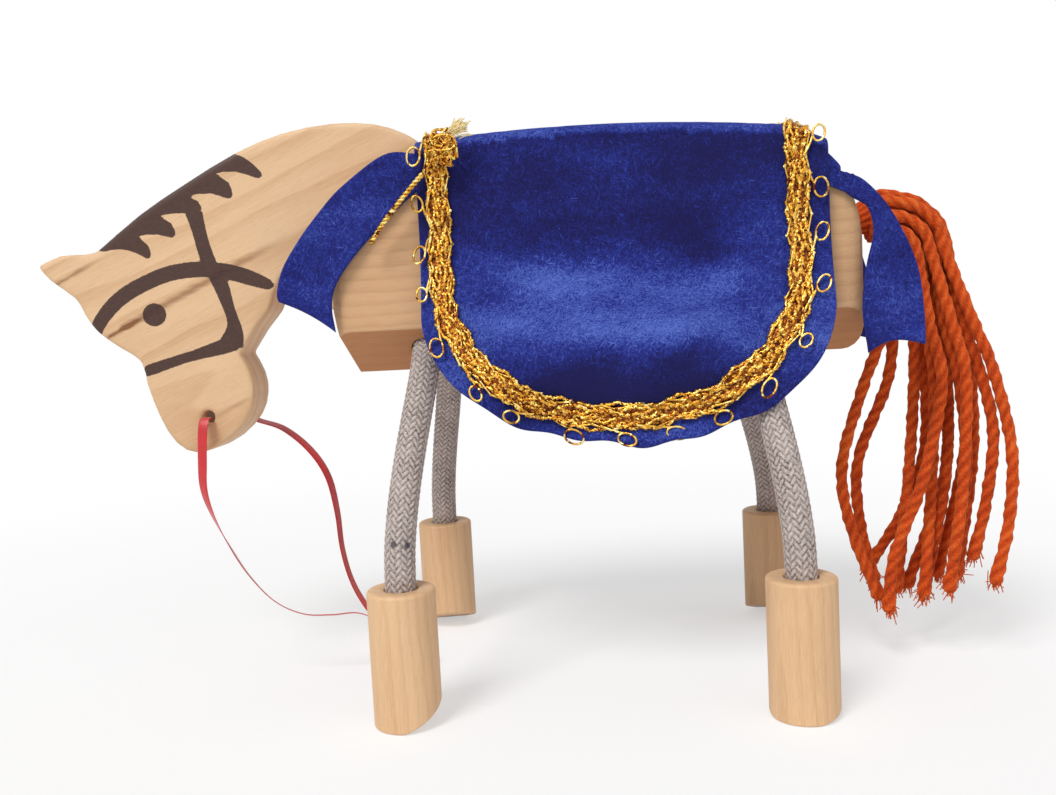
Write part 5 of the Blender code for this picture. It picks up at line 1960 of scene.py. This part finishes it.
@dataclass
class YarnTail:
    """The yarn tail: a plug in the body, the gathered end and the free strands."""

    maker: Maker
    joints: list[dict]
    radius: float = 1.5
    pitch: float = 3.5
    plug_radius: float = 3.9
    plug_run: tuple[float, float, int] = (-16.0, -4.7, 24)
    ball_radius: float = 4.4
    ball_front: float = -4.3
    plate_radius: float = 6.5
    plate_back: float = 2.4
    lead: float = 1.2
    bend_centre: float = 103.5
    splay: float = 0.5
    wander: float = 1.4
    plies: int = 3
    twist: float = 11.0
    seed: int = 11
    lanes: list = field(default_factory=lambda: [
        [[(83.5, 86.0), (86.0, 71.0), (80.5, 47.0), (73.5, 28.0), (71.5, 13.0)],
         [(89.0, 86.0), (92.0, 72.0), (90.0, 45.0), (86.3, 18.0)],
         [(94.2, 86.0), (98.6, 74.0), (103.0, 54.0), (101.4, 36.0), (97.0, 20.0)]],
        [[(74.5, 88.0), (67.5, 70.0), (61.8, 50.0), (64.0, 33.0), (70.6, 15.5)],
         [(84.0, 86.0), (85.5, 70.0), (84.6, 44.0), (81.4, 16.0)],
         [(88.4, 86.0), (91.2, 74.0), (93.0, 50.0), (90.2, 20.0)],
         [(93.0, 86.0), (96.8, 74.0), (99.6, 58.0), (97.2, 40.0), (94.0, 25.0)]],
        [[(77.0, 88.0), (75.0, 72.0), (67.5, 52.0), (67.4, 36.0), (70.8, 18.0)],
         [(82.0, 86.0), (81.6, 70.0), (79.6, 46.0), (76.6, 15.0)],
         [(87.0, 86.0), (90.0, 74.0), (89.0, 46.0), (83.0, 14.0)],
         [(92.0, 86.0), (95.6, 74.0), (96.8, 52.0), (91.4, 19.6)]],
        [[(83.0, 88.0), (85.6, 74.0), (85.0, 52.0), (78.2, 34.0), (69.6, 20.0)],
         [(88.0, 86.0), (91.0, 74.0), (90.6, 46.0), (80.0, 15.4)],
         [(92.5, 86.0), (96.0, 74.0), (96.0, 50.0), (88.0, 17.8)]]])

    @property
    def hinge(self) -> Array:
        """The tail's hinge in the horse's coordinates."""
        return self.maker.body.joint(self.joints, "tail_lift")

    def route(self, lane: int, order: int, count: int, places: list[tuple[float, float]]) -> Array:
        """A strand's points: straight out of the gathered end, round a bend that all share, then its own places.

        Args:
            lane: number of its lane, from the left.
            order: its number in the lane, from below.
            count: strands in the lane.
            places: (x, z) places that it hangs through.

        Returns:
            The points.
        """
        x, _, z = self.hinge
        lane_y = (lane - (len(self.lanes) - 1) / 2) * self.pitch
        root = np.array([x + self.plate_back + GAP, lane_y, z + (order - (count - 1) / 2) * self.pitch])
        radius = root[2] - self.bend_centre
        angle = np.radians([90.0, 60.0, 30.0, 0.0])
        bend = np.stack([root[0] + self.lead + radius * np.cos(angle), np.full(4, lane_y),
                         self.bend_centre + radius * np.sin(angle)], axis=1)
        fall = np.array(places)
        depth = (self.bend_centre - fall[:, 1]) / (self.bend_centre - fall[-1, 1])
        drift = self.wander * np.sin(fall[:, 1] / 13.0 + 2.4 * lane + 1.7 * order) * smoothstep(0.25, 0.7, depth)
        lower = np.stack([fall[:, 0], lane_y * (1 + self.splay * depth) + drift, fall[:, 1]], axis=1)
        return np.vstack([root, bend, lower])

    def strand(self, name: str, line: Array, start: float, material: Finish) -> Piece:
        """One strand: plies wound round each other, so the radius is the largest of their circles at each angle.

        Args:
            name: the piece's name.
            line: its centre line.
            start: phase of its twist.
            material: its finish.

        Returns:
            The strand, narrow where it is gathered and full at its soft end.
        """
        sides = 36
        first, second = frames(line, (0.0, 1.0, 0.0))
        along = arc_lengths(line)
        angle = ring_angles(sides, len(line))
        wound = self.plies * (angle - along[:, None] / self.twist * TURN - start)
        groove = 0.5 - 0.5 * np.cos(wound)
        wander = 1 + 0.07 * np.sin(along * 0.9 + start * 3) + 0.05 * np.sin(along * 2.3 + start * 7)
        left = along[-1] - along
        end = np.clip(1 - left / self.radius, 0.0, 1.0)
        tip = (1 + 0.22 * np.exp(-((left - 2.5) / 2.4) ** 2)) * np.sqrt(1 - 0.96 * end * end)
        radius = self.radius * (0.98 - 0.1 * groove ** 1.4) * (wander * tip)[:, None]
        rings = round_rings(line, first, second, radius, sides)
        # The groove depth is stored for painting shade between the plies.
        return self.maker.tubes(name, rings[None], material, {"hollow": groove})

    def tuft(self, name: str, line: Array, rng: np.random.Generator,
             material: Finish) -> Piece:
        """The loose fibres at a strand's cut end, spreading out of its last few millimetres.

        Args:
            name: the piece's name.
            line: the strand's centre line.
            rng: the tail's random numbers.
            material: its finish.

        Returns:
            The fibres, as one piece.
        """
        count, stations = 44, 6
        way = unit(line[-1] - line[-8])
        start = line[-1] - way * rng.uniform(1.0, 4.0, (count, 1, 1)) + rng.normal(0.0, 0.55, (count, 1, 3))
        spread = unit(way + rng.normal(0.0, 0.34, (count, 1, 3)))
        reach = rng.uniform(1.6, 3.6, (count, 1, 1)) * np.linspace(0.0, 1.0, stations)[None, :, None]
        bow = rng.normal(0.0, 0.05, (count, 1, 3))
        lines = start + spread * reach + bow * reach ** 2
        first, second = frames(lines, (0.0, 1.0, 0.1))
        return self.maker.tubes(name, round_rings(lines, first, second, 0.13, 4), material)

    def gathered(self, name: str, node: str, stations: Array, radii: Array, ridges: int,
                 material: Finish) -> Piece:
        """A bundle of yarn along x: a turned shape with a ridge for each strand that runs through it.

        Args:
            name: the piece's name.
            node: the CAD node that it replaces.
            stations: distances along x from the hinge.
            radii: radius at each station.
            ridges: how many ridges there are.
            material: its finish.

        Returns:
            The bundle.
        """
        x, _, z = self.hinge
        sides = 72
        line = np.stack([x + stations, np.zeros(len(stations)), np.full(len(stations), z)], axis=1)
        first, second = frames(line, (0.0, 1.0, 0.0))
        angle = ring_angles(sides, len(line))
        groove = 0.5 - 0.5 * np.cos(ridges * (angle + stations[:, None] * 0.12))
        radius = radii[:, None] * (1 - 0.09 * groove)
        rings = round_rings(line, first, second, radius, sides)
        # The groove depth is stored for painting shade between the grooves.
        made = self.maker.tubes(name, rings[None], material, {"hollow": groove})
        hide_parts(node)
        return made

    def build(self) -> None:
        """Build the tail."""
        material = Yarn().material()
        rng = np.random.default_rng(self.seed)
        plug_at = np.linspace(*self.plug_run)
        plug = self.gathered("tail_bundle", "tail_plug", plug_at, np.full(len(plug_at), self.plug_radius), 9, material)
        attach(plug, "torso")
        knot_at = np.linspace(self.ball_front, self.plate_back, 40)
        ball = np.sqrt(np.clip(self.ball_radius ** 2 - knot_at ** 2, 0.0, None))
        knot_radii = np.maximum(np.maximum(ball, 0.4), self.plate_radius * smoothstep(-0.8, 0.6, knot_at))
        knot = self.gathered("tail_gather", "tail_knot", knot_at, knot_radii, 14, material)
        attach(knot, "tail_root")
        for lane, strands in enumerate(self.lanes):
            for order, places in enumerate(strands):
                line = evenly(smooth_through(self.route(lane, order, len(strands), places), 10), 260)
                ending = f"{lane + 1}_{order + 1}"
                made = self.strand(f"yarn_{ending}", line, rng.uniform(0.0, TURN), material)
                tuft = self.tuft(f"tuft_{ending}", line, rng, material)
                for piece in (made, tuft):
                    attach(piece, "tail")
                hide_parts(f"tail_strand_{ending}")
                path = self.maker.body.place(line)
                2 * self.radius * MM


@dataclass
class Studio:
    """Floor, lamps, world and camera."""

    body: Body
    camera_at: Triple = (1.5, -263.0, 93.5)
    right: Triple = (0.99611, 0.07155, -0.05138)
    up: Triple = (0.04523, 0.08497, 0.99536)
    focal: float = 34.09
    floor_size: float = 12.0
    floor_gap: float = 0.05
    key_strength: float = 2.1
    fill_strength: float = 0.42

    def build_floor(self) -> None:
        """A wide pale floor just under the hooves."""
        half = self.floor_size / 2
        mesh = bpy.data.meshes.new("floor")
        corners = ((-half, -half), (half, -half), (half, half), (-half, half))
        mesh.from_pydata([(x, y, -self.floor_gap * MM) for x, y in corners], [], [(0, 1, 2, 3)])
        mesh.materials.append(Backdrop().material())
        linked("floor", mesh)

    def build_lamps(self) -> None:
        """A soft key light from the upper front left and a weak one from the right."""
        for name, strength, spread, turn in (("key_light", self.key_strength, 24.0, (40, 0, -30)),
                                             ("side_light", 0.3, 60.0, (62, 0, 48))):
            lamp = bpy.data.lights.new(name, "SUN")
            lamp.energy = strength
            lamp.angle = math.radians(spread)
            linked(name, lamp).rotation_euler = tuple(math.radians(a) for a in turn)

    def build_world(self) -> None:
        """Even white surroundings: full white to the camera and in reflections, softer as light."""
        world = bpy.data.worlds.new("surroundings")
        bpy.context.scene.world = world
        world.use_nodes = True
        nodes = Nodes(world.node_tree)
        light, white = (nodes.node("ShaderNodeBackground", None, {"Color": WHITE, "Strength": strength})
                        for strength in (self.fill_strength, 1.0))
        both = nodes.node("ShaderNodeMixShader", None, {0: nodes.seen(), 1: light, 2: white})
        output = nodes.tree.nodes.new("ShaderNodeOutputWorld")
        nodes.tree.links.new(both.socket, output.inputs["Surface"])

    def build_camera(self) -> None:
        """The camera on the horse's left, rolled slightly."""
        data = bpy.data.cameras.new("camera")
        data.lens = self.focal
        data.sensor_width = 36.0
        data.clip_start = 0.01
        data.clip_end = 50.0
        camera = linked("camera", data)
        right, up = Vector(self.right), Vector(self.up)
        back = right.cross(up)
        place = self.body.place(np.array(self.camera_at))
        turned = Matrix((right, up, back)).transposed().to_4x4()
        camera.matrix_world = Matrix.Translation(Vector(place.tolist())) @ turned
        bpy.context.scene.camera = camera

    def build(self) -> None:
        """Build the studio."""
        self.build_floor()
        self.build_lamps()
        self.build_world()
        self.build_camera()
        bpy.context.scene.view_settings.view_transform = "Standard"


def main() -> None:
    """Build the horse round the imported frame."""
    for found in list(bpy.data.objects):
        bpy.data.objects.remove(found, do_unlink=True)
    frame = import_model()
    body = Body.from_frame()
    maker = Maker(body)
    Studio(body).build()
    RibbonRein(maker).build()
    YarnTail(maker, frame["joints"]).build()
    WoodenBody(maker, frame["nodes"]).build()
    RopeLegs(maker, frame["joints"]).build()
    cloth = SaddleCloth(maker)
    felt = cloth.build().data.materials[0]
    FeltStrip(maker, "chest_felt", "chest_cloth", (-39.5, -29.0),
              [(-48.4, 134.0), (-59.2, 127.1), (-65.8, 120.5), (-71.5, 114.0), (-75.2, 108.2), (-76.7, 102.2),
               (-76.4, 99.9)],
              [(-31.0, 129.0), (-41.0, 124.8), (-48.9, 118.2), (-54.9, 112.6), (-61.6, 104.5), (-63.6, 98.5),
               (-62.8, 91.8)], free_from=-43.0, free_way=-1.0, arch=0.015).build(felt)
    FeltStrip(maker, "rump_felt", "rump_cloth", (59.0, 44.0),
              [(64.1, 121.1), (70.7, 113.1), (75.3, 102.4), (77.2, 92.6), (76.9, 82.1)],
              [(46.0, 124.0), (56.0, 120.4), (63.6, 116.6), (66.0, 110.0), (64.3, 101.1), (63.1, 90.3),
               (64.0, 80.6)], free_from=58.5, free_way=1.0, arch=0.035).build(felt)
    GoldBraid(maker, cloth).build()


if __name__ == "__main__":
    logging.basicConfig(level=logging.INFO, format="%(name)s: %(message)s")
    main()
